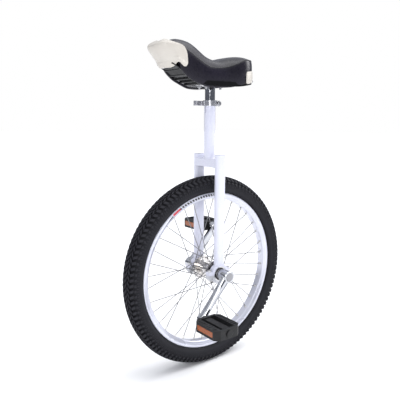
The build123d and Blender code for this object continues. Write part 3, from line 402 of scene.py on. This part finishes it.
plated_brass = Finish("nipple_nickel_plate", metallic=1.0, base_color=(0.66, 0.65, 0.62))
plated_brass.feed("Roughness", plated_brass.spread(plated_brass.noise(400, 2), 0.22, 0.40))
plated_brass.bump(plated_brass.noise(1500, 1), 0.08, 0.0001)
dress(nodes["spoke_nipples"], plated_brass, smooth=50)

spoke_count = 36
first_spoke = 5
eyelet_radius = 0.0031
eyelet_bead = 0.0006
eyelet_offset = 0.0025
eyelet_sink = 0.0001
eyelet_steps = 14
work = bmesh.new()
for count in range(spoke_count):
    angle = radians(first_spoke + 360 / spoke_count * count)
    side = 1 if count % 2 == 0 else -1
    outward = Vector((cos(angle), 0, sin(angle)))
    round_rim = Vector((-sin(angle), 0, cos(angle)))
    middle = Vector((0, side * eyelet_offset, axle_height)) + outward * (bed_radius - eyelet_sink)
    rings = []
    for step in range(eyelet_steps):
        swing = 2 * pi * step / eyelet_steps
        spoke_out = round_rim * cos(swing) + Vector((0, 1, 0)) * sin(swing)
        rings.append([
            middle + spoke_out * (eyelet_radius + eyelet_bead * cos(lap)) + outward * eyelet_bead * sin(lap)
            for lap in [pi * part / 3 for part in range(6)]
        ])
    skin(work, rings, closed_loop=True)
eyelets = piece_from("rim_eyelets", work)
dress(eyelets, plated_brass, "wheel")


# ---- Hub ----
# A turned steel barrel with two pressed flanges, chromed together. The chrome varies at random in tone and
# roughness over all of it.
chrome_hub = Finish("hub_chrome", metallic=1.0)
shade = chrome_hub.spread(chrome_hub.noise(70, 3), 0.0, 1.0)
chrome_hub.feed("Base Color", chrome_hub.between(shade, (0.56, 0.53, 0.50), (0.74, 0.73, 0.73)))
chrome_hub.feed("Roughness", chrome_hub.spread(chrome_hub.noise(250, 2), 0.07, 0.20))
chrome_hub.bump(chrome_hub.noise(600, 2), 0.03, 0.0002)
for name in ("hub_barrel", "hub_flange_left", "hub_flange_right"):
    dress(nodes[name], chrome_hub, smooth=35)


# ---- Axle and bearings ----
# A ground steel axle with square taper ends turns in two sealed ball bearings.
# Their rings are ground bright and their seals are black rubber pressed onto a steel ring.
ground_steel = Finish("axle_ground_steel", metallic=1.0)
ground_shade = ground_steel.spread(ground_steel.noise(120, 3, (1, 6, 1)), 0.0, 1.0)
ground_steel.feed("Base Color", ground_steel.between(ground_shade, (0.50, 0.50, 0.51), (0.66, 0.66, 0.68)))
ground_steel.feed("Roughness", ground_steel.spread(ground_steel.noise(500, 2), 0.16, 0.32))
ground_steel.bump(ground_steel.noise(1200, 1, (1, 8, 1)), 0.05, 0.0001)
for name in ("axle", "bearing_inner_rings", "bearing_outer_rings", "bearing_balls", "axle_spacers"):
    dress(nodes[name], ground_steel, smooth=35)

seal_rubber = Finish("bearing_seal_rubber", base_color=(0.022, 0.022, 0.024), roughness=0.55)
seal_rubber.feed("Roughness", seal_rubber.spread(seal_rubber.noise(300, 2), 0.45, 0.65))
seal_rubber.bump(seal_rubber.noise(900, 2), 0.15, 0.0002)
dress(nodes["bearing_seals"], seal_rubber)


# ---- Fork frame ----
# Flat-sided steel tubes, brazed to a square crossbar, and a round seat tube stood on it. The whole
# frame is powder coated gloss white, with plugs in the tops of the legs.
frame_body = {node: body for body, names in frame["record"]["behaviour"]["bodies"].items() for node in names}


def softened(node, width):
    """A copy of a turned or cast piece with its sharp edges broken, to stand for the plain one."""
    work = bmesh.new()
    work.from_mesh(nodes[node].data)
    bmesh.ops.remove_doubles(work, verts=work.verts, dist=0.00001)
    bmesh.ops.dissolve_limit(work, angle_limit=radians(1.0), verts=work.verts, edges=work.edges)
    piece = piece_from(f"{node}_finished", work)
    piece.data.materials.clear()
    bevel = piece.modifiers.new("broken_edges", "BEVEL")
    bevel.width = width
    bevel.segments = 3
    bevel.limit_method = "ANGLE"
    bevel.angle_limit = radians(28)
    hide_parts(node)
    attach(piece, frame_body[node])
    return piece


white_coat = Finish("frame_white_powder_coat", coat_weight=0.6, coat_roughness=0.06, specular_ior_level=0.5)
coat_shade = white_coat.spread(white_coat.noise(9, 3), 0.0, 1.0)
orange_peel = white_coat.noise(420, 2)
white_coat.feed("Base Color", white_coat.between(coat_shade, (0.66, 0.67, 0.79), (0.70, 0.71, 0.82)))
white_coat.feed("Roughness", white_coat.spread(orange_peel, 0.20, 0.30))
white_coat.bump(orange_peel, 0.05, 0.0002)
frame_pieces = {
    "frame_leg_left": 0.0004, "frame_leg_right": 0.0004, "crown_crossbar": 0.0008, "leg_top_caps": 0.0006,
    "seat_tube": 0.0003,
}
for name, width in frame_pieces.items():
    dress(softened(name, width), white_coat, smooth=30)

inner_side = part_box("frame_leg_left")[0].y
bar_low, bar_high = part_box("crown_crossbar")
tube_low, tube_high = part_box("seat_tube")
tube_radius = (tube_high.x - tube_low.x) / 2
bead = 0.0016
bead_laps = [pi * part / 4 for part in range(8)]
corner_round = 0.008
tube_steps, bar_steps = 60, 10


def bead_round(work, spots, size):
    """A fillet of brazing metal along a closed run of points, round in section and lightly rippled."""
    rings = []
    count = len(spots)
    for step, spot in enumerate(spots):
        forward = (spots[(step + 1) % count] - spots[step - 1]).normalized()
        side = forward.cross(Vector((0, 0, 1)))
        side = side.normalized() if side.length > 0.1 else Vector((1, 0, 0))
        up = side.cross(forward).normalized()
        ripple = size * (1 + 0.10 * sin(step * 2.1))
        rings.append([spot + (side * cos(lap) + up * sin(lap)) * ripple for lap in bead_laps])
    skin(work, rings, closed_loop=True)


work = bmesh.new()
foot_radius = tube_radius + bead * 0.3
tube_foot = []
for step in range(tube_steps):
    swing = 2 * pi * step / tube_steps
    tube_foot.append(Vector((foot_radius * cos(swing), foot_radius * sin(swing), bar_high.z)))
bead_round(work, tube_foot, bead)
bar_half = (bar_high.x - bar_low.x) / 2 - 0.001
bar_middle = (bar_low.z + bar_high.z) / 2
corners = [(-bar_half, bar_low.z), (bar_half, bar_low.z), (bar_half, bar_high.z), (-bar_half, bar_high.z)]
for side in (1, -1):
    spots = []
    for here, there in zip(corners, corners[1:] + corners[:1]):
        for step in range(bar_steps):
            x = here[0] + (there[0] - here[0]) * step / bar_steps
            z = here[1] + (there[1] - here[1]) * step / bar_steps
            round_off = max(0.0, abs(x) - (bar_half - corner_round))
            y = inner_side + round_off ** 2 / (2 * corner_round)
            spots.append(Vector((x, side * y, z)))
    rings = []
    for step, spot in enumerate(spots):
        ripple = bead * (0.8 + 0.08 * sin(step * 2.3))
        outward = Vector((spot.x, 0, spot.z - bar_middle)).normalized()
        sideways = Vector((0, side, 0))
        rings.append([spot + (outward * cos(lap) + sideways * sin(lap)) * ripple for lap in bead_laps])
    skin(work, rings, closed_loop=True)
brazing = piece_from("frame_brazing", work)
dress(brazing, white_coat, "frame", 80)


# ---- Bearing holders and caps ----
# Each leg ends in a welded half ring, and a cast cap is screwed up against it with two socket screws
# to clamp the bearing. The holders are coated with the frame, and the caps are satin grey.
grey_cap = Finish("bearing_cap_grey", metallic=0.35, coat_weight=0.2)
cap_shade = grey_cap.spread(grey_cap.noise(60, 3), 0.0, 1.0)
grey_cap.feed("Base Color", grey_cap.between(cap_shade, (0.52, 0.53, 0.57), (0.64, 0.65, 0.69)))
grey_cap.feed("Roughness", grey_cap.spread(grey_cap.noise(350, 2), 0.30, 0.45))
grey_cap.bump(grey_cap.noise(700, 3), 0.12, 0.0003)
for side in ("left", "right"):
    dress(softened(f"bearing_holder_{side}", 0.0009), white_coat, smooth=30)
    dress(softened(f"bearing_cap_{side}", 0.0009), grey_cap, smooth=30)

zinc = Finish("screw_zinc_plate", metallic=1.0)
zinc_shade = zinc.spread(zinc.noise(200, 3), 0.0, 1.0)
zinc.feed("Base Color", zinc.between(zinc_shade, (0.52, 0.52, 0.53), (0.68, 0.68, 0.70)))
zinc.feed("Roughness", zinc.spread(zinc.noise(600, 2), 0.22, 0.40))
zinc.bump(zinc.noise(900, 2), 0.08, 0.0002)
for name in ("bearing_cap_bolts", "bearing_cap_nuts", "saddle_bolts", "saddle_nuts", "seatpost_plate"):
    dress(softened(name, 0.0005), zinc, smooth=30)


# ---- Cranks, their bolts and caps ----
# Forged steel arms on square tapers, ground and chromed, with a raised rib down the face of each.
# Each is held by a bolt under a pressed-in cap, and takes a pedal spindle in its eye.
bright_chrome = Finish("crank_chrome", metallic=1.0)
chrome_shade = bright_chrome.spread(bright_chrome.noise(40, 2), 0.0, 1.0)
bright_chrome.feed("Base Color", bright_chrome.between(chrome_shade, (0.44, 0.45, 0.47), (0.56, 0.57, 0.60)))
bright_chrome.feed("Roughness", bright_chrome.spread(bright_chrome.noise(220, 2), 0.05, 0.12))
bright_chrome.bump(bright_chrome.noise(500, 2), 0.02, 0.0002)
crank_length = 0.125
crank_lean = radians(-49)
boss_radius, eye_radius = 0.0158, 0.0130
boss_hole, eye_hole = 0.0106, 0.0073
crank_inner, arm_inner, crank_outer = 0.0570, 0.0715, 0.0875
arm_half, arm_taper, arm_waist = 0.0128, 0.0030, 0.0012
arm_back_edge, arm_shoulder, rib_foot, rib_hollow = 0.0020, 0.0056, 0.0040, 0.0010
arm_back_round = 0.0016
boss_edge, hole_edge, boss_draft = 0.0010, 0.0006, 0.001
arm_steps = 12


def arm_rings():
    """The forged arm's sections from the boss to the eye, as (reach, across, out) from the axle."""
    rings = []
    for step in range(arm_steps + 1):
        share = step / arm_steps
        reach = crank_length * share
        waist = arm_waist * sin(pi * share)
        half = arm_half - arm_taper * share - waist
        face = crank_outer - waist
        section = [
            (-half + arm_back_round, arm_inner), (half - arm_back_round, arm_inner),
            (half, arm_inner + arm_back_edge),
            (half, face - arm_shoulder), (half * 0.90, face - rib_foot), (half * 0.50, face - 0.0002),
            (half * 0.38, face), (half * 0.26, face - rib_hollow), (-half * 0.26, face - rib_hollow),
            (-half * 0.38, face), (-half * 0.50, face - 0.0002), (-half * 0.90, face - rib_foot),
            (-half, face - arm_shoulder), (-half, arm_inner + arm_back_edge),
        ]
        rings.append([(reach, across, out) for across, out in section])
    return rings


axle_end = Vector((0, 0, axle_height))
for side, name in ((1, "left"), (-1, "right")):
    lean = crank_lean + (0 if side > 0 else pi)
    down_arm = Vector((cos(lean), 0, sin(lean)))
    over_arm = Vector((-sin(lean), 0, cos(lean)))
    outward = Vector((0, side, 0))
    work = bmesh.new()
    rows = skin(work, [
        [axle_end + down_arm * reach + over_arm * across + outward * out for reach, across, out in ring]
        for ring in arm_rings()
    ])
    for row in (rows[0], rows[-1]):
        work.faces.new(row)
    ends = ((0, boss_radius, boss_hole, crank_inner), (crank_length, eye_radius, eye_hole, arm_inner))
    for centre, radius, hole, low in ends:
        turned(work, [(side * out, reach) for out, reach in (
            (low, radius - boss_edge - boss_draft), (low + boss_edge, radius - boss_draft),
            (crank_outer - boss_edge, radius), (crank_outer, radius - boss_edge),
            (crank_outer, hole + hole_edge), (crank_outer - hole_edge, hole), (low, hole),
        )], 64, axle_end + down_arm * centre)
    crank = piece_from(f"crank_{name}_forging", work)
    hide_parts(f"crank_{name}")
    dress(crank, bright_chrome, "wheel", smooth=32)
    dress(softened(f"pedal_spindle_{name}", 0.0005), bright_chrome, smooth=30)
dress(nodes["crank_bolts"], zinc, smooth=30)

cap_plastic = Finish("crank_cap_grey_resin", base_color=(0.30, 0.30, 0.32), coat_weight=0.15)
cap_plastic.feed("Roughness", cap_plastic.spread(cap_plastic.noise(300, 2), 0.32, 0.46))
cap_plastic.bump(cap_plastic.noise(1200, 2), 0.08, 0.0002)
dress(nodes["crank_caps"], cap_plastic, smooth=30)


# ---- Pedals ----
# Moulded black resin blocks with grooved treads, open between their bars, turning on the spindles.
# Orange prism reflectors snap into the front and rear bars.
black_resin = Finish("pedal_black_resin", specular_ior_level=0.3)
resin_shade = black_resin.spread(black_resin.noise(80, 3), 0.0, 1.0)
resin_grain = black_resin.noise(1500, 2)
black_resin.feed("Base Color", black_resin.between(resin_shade, (0.007, 0.007, 0.008), (0.015, 0.015, 0.016)))
black_resin.feed("Roughness", black_resin.spread(resin_grain, 0.36, 0.52))
black_resin.bump(resin_grain, 0.20, 0.0003)

prism = Finish("reflector_orange_prism", coat_weight=0.3, coat_roughness=0.08)
cells = prism.node("ShaderNodeTexVoronoi", {"feature": "F1"}, {"Vector": prism.place(), "Scale": 420.0})
prism.feed("Base Color", prism.between(cells * 1.6, (0.52, 0.15, 0.025), (0.30, 0.06, 0.008)))
prism.feed("Roughness", prism.spread(cells, 0.15, 0.35, 0.0, 0.7))
prism.bump(cells, 0.5, 0.0008)
for side in ("left", "right"):
    dress(softened(f"pedal_body_{side}", 0.0009), black_resin, smooth=30)
    dress(softened(f"pedal_cap_{side}", 0.0006), black_resin, smooth=30)
    dress(softened(f"pedal_reflectors_{side}", 0.0005), prism, smooth=30)
    dress(nodes[f"pedal_bearings_{side}"], black_resin, smooth=30)


# ---- Seat clamp and its lever ----
# A split aluminium collar closes round the slotted top of the seat tube. A cam lever on its right
# side pulls a skewer through the ears against a knurled nut.
cast_alloy = Finish("clamp_polished_alloy", metallic=1.0)
alloy_shade = cast_alloy.spread(cast_alloy.noise(90, 3), 0.0, 1.0)
cast_alloy.feed("Base Color", cast_alloy.between(alloy_shade, (0.60, 0.60, 0.62), (0.76, 0.76, 0.79)))
cast_alloy.feed("Roughness", cast_alloy.spread(cast_alloy.noise(300, 2), 0.14, 0.26))
cast_alloy.bump(cast_alloy.noise(500, 2), 0.05, 0.0002)
for name, width in {"seat_clamp_collar": 0.0008, "clamp_lever": 0.0010, "clamp_cam_seat": 0.0005}.items():
    dress(softened(name, width), cast_alloy, smooth=30)
dress(softened("clamp_skewer", 0.0003), bright_chrome, smooth=30)
dress(softened("clamp_nut", 0.0002), zinc, smooth=30)


# ---- Seatpost ----
# A chromed steel tube with a plate welded on its top. It slides in the seat tube and is held where it
# stands by the clamp.
dress(nodes["seatpost"], bright_chrome, smooth=40)


# ---- Saddle base ----
# An injection moulded black tray with cross ribs underneath, shallow towards the nose, bolted down on
# the seatpost's plate.
skirt_line = [
    (-0.111, 0.747), (-0.060, 0.738), (-0.041, 0.735), (-0.016, 0.7295), (0.014, 0.7275), (0.041, 0.7280),
    (0.058, 0.7325), (0.074, 0.7385), (0.091, 0.7455), (0.108, 0.758), (0.118, 0.766), (0.140, 0.777),
    (0.163, 0.783),
]


def along(line, x):
    """The height of one of the saddle's lines at x, smoothed between its points."""
    if x <= line[0][0]:
        return line[0][1]
    if x >= line[-1][0]:
        return line[-1][1]
    spot = next(count for count in range(len(line) - 1) if line[count][0] <= x <= line[count + 1][0])
    (x1, z1), (x2, z2) = line[spot], line[spot + 1]
    x0, z0 = line[max(spot - 1, 0)]
    x3, z3 = line[min(spot + 2, len(line) - 1)]
    slope1 = (z2 - z0) / (x2 - x0)
    slope2 = (z3 - z1) / (x3 - x1)
    gap = x2 - x1
    share = (x - x1) / gap
    return (
        z1 * (2 * share**3 - 3 * share**2 + 1) + slope1 * gap * (share**3 - 2 * share**2 + share)
        + z2 * (3 * share**2 - 2 * share**3) + slope2 * gap * (share**3 - share**2)
    )


def clamped(share):
    return max(0.0, min(1.0, share))


def eased(share):
    """A share between 0 and 1 that leaves both ends gently."""
    share = clamped(share)
    return share * share * (3 - 2 * share)


tray_resin = Finish("saddle_tray_black_resin", specular_ior_level=0.12)
tray_grain = tray_resin.noise(1100, 2)
tray_resin.feed("Base Color", tray_resin.between(tray_grain, (0.004, 0.004, 0.005), (0.009, 0.009, 0.010)))
tray_resin.feed("Roughness", tray_resin.spread(tray_grain, 0.22, 0.36))
tray_resin.bump(tray_grain, 0.12, 0.0003)
tray = softened("saddle_base", 0.0005)
tray_front = 0.137
tray_edge = 0.004
shallow_from, shallow_run, shallow_depth = 0.032, 0.030, 0.18
work = bmesh.new()
work.from_mesh(tray.data)
for corner in work.verts:
    edge = along(skirt_line, corner.co.x) + tray_edge
    if corner.co.z < edge:
        keep = 1 - (1 - shallow_depth) * eased((corner.co.x - shallow_from) / shallow_run)
        corner.co.z = edge - (edge - corner.co.z) * keep
everything = work.verts[:] + work.edges[:] + work.faces[:]
front_cut = bmesh.ops.bisect_plane(
    work, geom=everything, plane_co=(tray_front, 0, 0), plane_no=(1, 0, 0), clear_outer=True,
)
cut_edges = [cut for cut in front_cut["geom_cut"] if isinstance(cut, bmesh.types.BMEdge)]
bmesh.ops.holes_fill(work, edges=cut_edges, sides=0)
work.to_mesh(tray.data)
work.free()
dress(tray, tray_resin, smooth=30)


# ---- Saddle foam and cover ----
# A moulded foam pad, high at the nose and broad at the rear, under a stretched cover of grained vinyl.
# The cover's top panel meets its side band at a piped seam.
saddle_front = 0.163
saddle_rear = -0.111
nose_length, nose_half = 0.040, 0.038
rear_length, rear_half = 0.064, 0.073
waist_place, waist_half = 0.035, 0.046
waist_swell = 0.016
seam_draw, top_fall = 0.0015, 2.6
end_steps, side_steps = 14, 22
brim_height = 0.812
rake_from, rake_run, rake_drop = 0.112, 0.040, 0.046
rake_back, rake_in = 0.036, 0.30
top_line = [
    (-0.111, 0.805), (-0.097, 0.8100), (-0.072, 0.8106), (-0.045, 0.8070), (-0.018, 0.8010), (0.001, 0.7960),
    (0.017, 0.7993), (0.033, 0.8063), (0.048, 0.8167), (0.063, 0.8268), (0.075, 0.8325), (0.090, 0.8356),
    (0.107, 0.8366), (0.116, 0.8360), (0.135, 0.8290), (0.150, 0.8210), (0.163, 0.8120),
]
seam_line = [
    (-0.111, 0.797), (-0.080, 0.7985), (-0.049, 0.796), (-0.033, 0.788), (-0.007, 0.778), (0.015, 0.775),
    (0.037, 0.777), (0.060, 0.788), (0.085, 0.803), (0.110, 0.815), (0.135, 0.818), (0.163, 0.808),
]


def saddle_plan():
    """The outline from above, anticlockwise from the nose, as x, y and the x that a point closes in to."""
    nose_centre = saddle_front - nose_length
    rear_centre = saddle_rear + rear_length
    left = []
    for step in range(end_steps):
        swing = pi / 2 * step / end_steps
        left.append((nose_centre + nose_length * cos(swing), nose_half * sin(swing), nose_centre))
    for step in range(side_steps):
        x = nose_centre + (rear_centre - nose_centre) * step / side_steps
        if x > waist_place:
            share = (nose_centre - x) / (nose_centre - waist_place)
            y = nose_half + (waist_half - nose_half) * eased(share) + waist_swell * (share**3 - share**2)
        else:
            share = (waist_place - x) / (waist_place - rear_centre)
            y = waist_half + (rear_half - waist_half) * eased(share)
            y += waist_swell * (share**3 - 2 * share**2 + share)
        left.append((x, y, x))
    for step in range(end_steps + 1):
        swing = pi / 2 * step / end_steps
        left.append((rear_centre - rear_length * sin(swing), rear_half * cos(swing), rear_centre))
    right = [(x, -y, spine) for x, y, spine in reversed(left[1:-1])]
    return left + right


plan = saddle_plan()


def saddle_outward(spot):
    """The level direction straight out of the saddle's outline at one of its points."""
    before = plan[spot - 1]
    after = plan[(spot + 1) % len(plan)]
    run = Vector((after[0] - before[0], after[1] - before[1], 0)).normalized()
    return Vector((run.y, -run.x, 0))


def raked(place):
    """The nose below its brim leans back and draws in, so that it clears the rider's knees."""
    rake = eased((place.x - rake_from) / rake_run) * clamped((brim_height - place.z) / rake_drop)
    return Vector((place.x - rake_back * rake, place.y * (1 - rake_in * rake), place.z))


def saddle_form(name, inset, wall_drop):
    """The pad's skin, drawn in by inset, from its spine over the top, down the wall and under its edge."""
    work = bmesh.new()
    rings = []
    for share in (0.0, 0.16, 0.32, 0.48, 0.62, 0.74, 0.84, 0.91, 0.96, 0.99):
        ring = []
        fall = share**top_fall
        for spot, (x, y, spine) in enumerate(plan):
            rim_place = Vector((x, y, 0)) - saddle_outward(spot) * (inset + seam_draw)
            here_x = spine + (rim_place.x - spine) * share
            top = along(top_line, here_x)
            height = top * (1 - fall) + min(along(seam_line, x), top) * fall - inset
            ring.append(raked(Vector((here_x, rim_place.y * share, height))))
        rings.append(ring)
    wall_bulges = ((0.03, 0.0), (0.10, 0.0012), (0.30, 0.0022), (0.55, 0.0020), (0.80, 0.0010), (0.95, 0.0))
    for share, bulge in wall_bulges:
        ring = []
        for spot, (x, y, spine) in enumerate(plan):
            seam = along(seam_line, x) - inset
            foot = along(skirt_line, x) + wall_drop
            place = Vector((x, y, 0)) + saddle_outward(spot) * (bulge - inset)
            ring.append(raked(Vector((place.x, place.y, seam + (foot - seam) * share))))
        rings.append(ring)
    turned_under = ((0.0, 0.0010), (-0.0004, 0.0026), (0.0004, 0.0046), (0.0030, 0.0050), (0.0080, 0.0050))
    for drop, draw in turned_under:
        ring = []
        for spot, (x, y, spine) in enumerate(plan):
            place = Vector((x, y, 0)) - saddle_outward(spot) * (draw + inset)
            ring.append(raked(Vector((place.x, place.y, along(skirt_line, x) + wall_drop + drop))))
        rings.append(ring)
    skin(work, rings)
    bmesh.ops.remove_doubles(work, verts=work.verts, dist=0.00002)
    piece = piece_from(name, work)
    round_off = piece.modifiers.new("stretched_smooth", "SUBSURF")
    round_off.levels = round_off.render_levels = 2
    return piece


foam = saddle_form("saddle_foam_pad", 0.0022, 0.006)
foam_grey = Finish("saddle_foam_grey", roughness=0.95)
pores = foam_grey.node("ShaderNodeTexVoronoi", None, {"Vector": foam_grey.place(), "Scale": 700.0})
foam_grey.feed("Base Color", foam_grey.between(pores, (0.20, 0.20, 0.21), (0.34, 0.34, 0.35)))
foam_grey.bump(pores, 0.4, 0.0006)
dress(foam, foam_grey, "saddle", 0)
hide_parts("saddle_foam")

cover = saddle_form("saddle_cover_vinyl", 0.0, 0.0)
vinyl = Finish("saddle_charcoal_vinyl", specular_ior_level=0.26)
grained = {"Vector": vinyl.place(), "Scale": 620.0}
pebble = vinyl.node("ShaderNodeTexVoronoi", {"feature": "DISTANCE_TO_EDGE"}, grained)
crease = vinyl.spread(pebble, 0.0, 1.0, 0.0, 0.12)
drift = vinyl.spread(vinyl.noise(18, 3), 0.0, 1.0)
vinyl.feed("Base Color", vinyl.between(drift, (0.008, 0.007, 0.012), (0.014, 0.012, 0.021)))
vinyl.feed("Roughness", vinyl.spread(vinyl.noise(120, 3), 0.24, 0.34))
vinyl.bump(crease, 0.05, 0.0003)
dress(cover, vinyl, "saddle", 0)
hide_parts("saddle_cover")

piping_radius = 0.0009
piping_drop, piping_draw = 0.0010, 0.0004
seam_run = []
for spot, (x, y, spine) in enumerate(plan):
    place = Vector((x, y, along(seam_line, x) - piping_drop))
    seam_run.append(place - saddle_outward(spot) * piping_draw)
work = bmesh.new()
bead_round(work, seam_run, piping_radius)
piping = piece_from("saddle_piping", work)
piping_vinyl = Finish("saddle_piping_black", base_color=(0.010, 0.010, 0.012))
piping_vinyl.feed("Roughness", piping_vinyl.spread(piping_vinyl.noise(300, 2), 0.35, 0.5))
piping_vinyl.bump(piping_vinyl.noise(800, 2), 0.1, 0.0002)
dress(piping, piping_vinyl, "saddle", 80)


# ---- Bumpers ----
# Two cream resin guards that take the knocks when the saddle is dropped: a deep hood round the nose,
# open below so that a hand can lift by it, and a low band round the tail. Both are screwed on.
hood_top = [
    (0.097, 0.787), (0.099, 0.797), (0.106, 0.813), (0.119, 0.8195), (0.149, 0.8195), (0.163, 0.816),
]
hood_foot = [
    (0.097, 0.783), (0.103, 0.773), (0.109, 0.768), (0.118, 0.775), (0.127, 0.780), (0.137, 0.779),
    (0.146, 0.772), (0.155, 0.768), (0.163, 0.768),
]
hood_gap = 0.0004
guard_wall = 0.0030
nose_square, nose_flare, nose_reach = 0.006, 0.12, 0.006
hood_back, tail_front = 0.097, -0.052
roof_from, roof_run = 0.118, 0.035
tail_height = 0.030
lip_share = 0.26


def grown_plan(spot, out, height):
    x, y, spine = plan[spot]
    return Vector((x, y, height)) + saddle_outward(spot) * out


def moulded_band(name, run, section_at):
    """A guard of even wall moulded along a run of the outline; section_at gives its outer line."""
    work = bmesh.new()
    rings = []
    for spot in run:
        outer = section_at(spot)
        draw = saddle_outward(spot) * guard_wall
        rings.append(outer + [point - draw for point in reversed(outer)])
    rows = skin(work, rings)
    for row in (rows[0], rows[-1]):
        work.faces.new(row)
    piece = piece_from(name, work)
    round_off = piece.modifiers.new("moulded_edges", "SUBSURF")
    round_off.levels = round_off.render_levels = 2
    return piece


def nose_place(spot, out, height):
    """A point out from the outline, with the nose squared off, leaning back as the pad's nose does."""
    x, y, spine = plan[spot]
    ahead = (x - rake_from) / rake_run
    corner = eased(ahead) * abs(y) / nose_half
    place = raked(grown_plan(spot, out, height))
    forward = corner * nose_square + clamped(ahead) * nose_reach
    return Vector((place.x + forward, place.y * (1 + corner * nose_flare), height))


def hood_section(spot):
    """The hood's outer line at one of the outline's points, from its thick lip up over its roof."""
    x = plan[spot][0]
    foot = along(hood_foot, x)
    head = along(hood_top, x)
    over = eased((x - roof_from) / roof_run)
    lip = foot + (head - foot) * lip_share
    line = []
    for share, out in ((0.0, 0.0070), (0.10, 0.0076), (0.55, 0.0072), (0.92, 0.0062), (1.0, 0.0050)):
        line.append(nose_place(spot, hood_gap + out, foot + (lip - foot) * share))
    for share, out in ((0.10, 0.0044), (0.40, 0.0044), (0.75, 0.0042), (1.0, 0.0036)):
        line.append(nose_place(spot, hood_gap + out, lip + (head - lip) * share))
    for draw, rise in ((0.005, 0.0040), (0.013, 0.0085), (0.022, 0.0120)):
        line.append(nose_place(spot, hood_gap + 0.0036 - draw * over, head + rise * over + 0.0004))
    return line


def tail_section(spot):
    """The tail band's outer line, gently crowned, from its lower edge to its upper one."""
    foot = along(skirt_line, plan[spot][0]) + 0.001
    crowned = ((0.0, 0.0030), (0.15, 0.0040), (0.5, 0.0044), (0.85, 0.0040), (1.0, 0.0030))
    return [grown_plan(spot, out, foot + tail_height * share) for share, out in crowned]


nose_run = [spot for spot in range(-40, 41) if plan[spot][0] > hood_back]
hood = moulded_band("front_bumper_hood", nose_run, hood_section)
cream = Finish("bumper_cream_resin", specular_ior_level=0.45)
cream_shade = cream.spread(cream.noise(30, 3), 0.0, 1.0)
cream.feed("Base Color", cream.between(cream_shade, (0.54, 0.505, 0.455), (0.58, 0.55, 0.50)))
cream.feed("Roughness", cream.spread(cream.noise(500, 2), 0.34, 0.46))
cream.bump(cream.noise(900, 2), 0.06, 0.0002)
dress(hood, cream, "saddle", 0)
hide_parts("front_bumper")

tail_run = [spot for spot in range(len(plan)) if plan[spot][0] < tail_front]
tail = moulded_band("rear_bumper_band", tail_run, tail_section)
dress(tail, cream, "saddle", 0)
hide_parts("rear_bumper")

screws = softened("bumper_screws", 0.0003)
to_raked_hood = Vector((-0.012, 0, 0.011))
for corner in screws.data.vertices:
    if corner.co.x > hood_back:
        corner.co += to_raked_hood
dress(screws, zinc, smooth=30)


# ---- Floor, light and camera ----
# A plain pale floor in a studio that is white to the camera, with a wide soft light above, one panel
# ahead and one behind. The camera stands ahead and to the left, a little below the saddle.
work = bmesh.new()
bmesh.ops.create_grid(work, x_segments=2, y_segments=2, size=30)
floor = piece_from("studio_floor", work)
pale = Finish("floor_white", roughness=0.9, specular_ior_level=0.0)
pale.feed("Base Color", (0.93, 0.93, 0.94))
dress(floor, pale, smooth=0)


class Backdrop(Finish):
    """The studio around the part, made of nodes as a finish is: grey by its height, white to the camera."""

    def __init__(self, name):
        world = bpy.data.worlds.new(name)
        bpy.context.scene.world = world
        world.use_nodes = True
        self.tree = world.node_tree
        self.shader = self.tree.nodes["Background"]


studio = Backdrop("studio")
sky_spot = studio.node("ShaderNodeTexCoord", out="Generated")
sky_height = studio.node("ShaderNodeSeparateXYZ", None, {"Vector": sky_spot}, out="Z")
sky_tints = [
    (0.0, (0.16, 0.17, 0.20)), (0.30, (0.22, 0.23, 0.27)), (0.45, (0.62, 0.64, 0.70)),
    (1.0, (0.95, 0.97, 1.0)),
]
sky = studio.node("ShaderNodeValToRGB", {"stops": sky_tints}, {"Fac": sky_height}, out="Color")
to_camera = studio.node("ShaderNodeLightPath", out="Is Camera Ray")
studio.feed("Color", studio.between(to_camera, sky, (1.0, 1.0, 1.0)))

sun = bpy.data.lights.new("soft_top_light", "SUN")
sun.energy = 2.3
sun.angle = radians(70)
lamp = bpy.data.objects.new("soft_top_light", sun)
bpy.context.collection.objects.link(lamp)
lamp.rotation_euler = Vector((0.42, -0.20, -1.0)).to_track_quat("-Z", "Y").to_euler()

panels_aim = Vector((0, 0, 0.4))
for name, place, size, power in (
    ("near_panel", (1.9, 2.2, 1.5), 1.2, 26),
    ("rear_panel", (-2.0, 0.6, 1.4), 0.9, 16),
):
    panel = bpy.data.lights.new(name, "AREA")
    panel.size = size
    panel.energy = power
    lamp = bpy.data.objects.new(name, panel)
    bpy.context.collection.objects.link(lamp)
    lamp.location = place
    lamp.rotation_euler = (panels_aim - Vector(place)).to_track_quat("-Z", "Y").to_euler()

camera_place = Vector((0.77875, 0.97673, 0.64125))
sight = Vector((-0.61502, -0.77138, -0.16348)).normalized()
level = sight.cross(Vector((0, 0, 1))).normalized()
upward = level.cross(sight)
tilt = radians(0.54)
right = level * cos(tilt) + upward * sin(tilt)
top = upward * cos(tilt) - level * sin(tilt)
lens = bpy.data.cameras.new("camera")
lens.lens = 43.31
lens.sensor_width = 36
lens.shift_x = -0.0224
lens.shift_y = 0.0081
camera = bpy.data.objects.new("camera", lens)
bpy.context.collection.objects.link(camera)
facing = Matrix((right, top, -sight)).transposed().to_4x4()
camera.matrix_world = Matrix.Translation(camera_place) @ facing
bpy.context.scene.camera = camera
bpy.context.scene.view_settings.view_transform = "Standard"
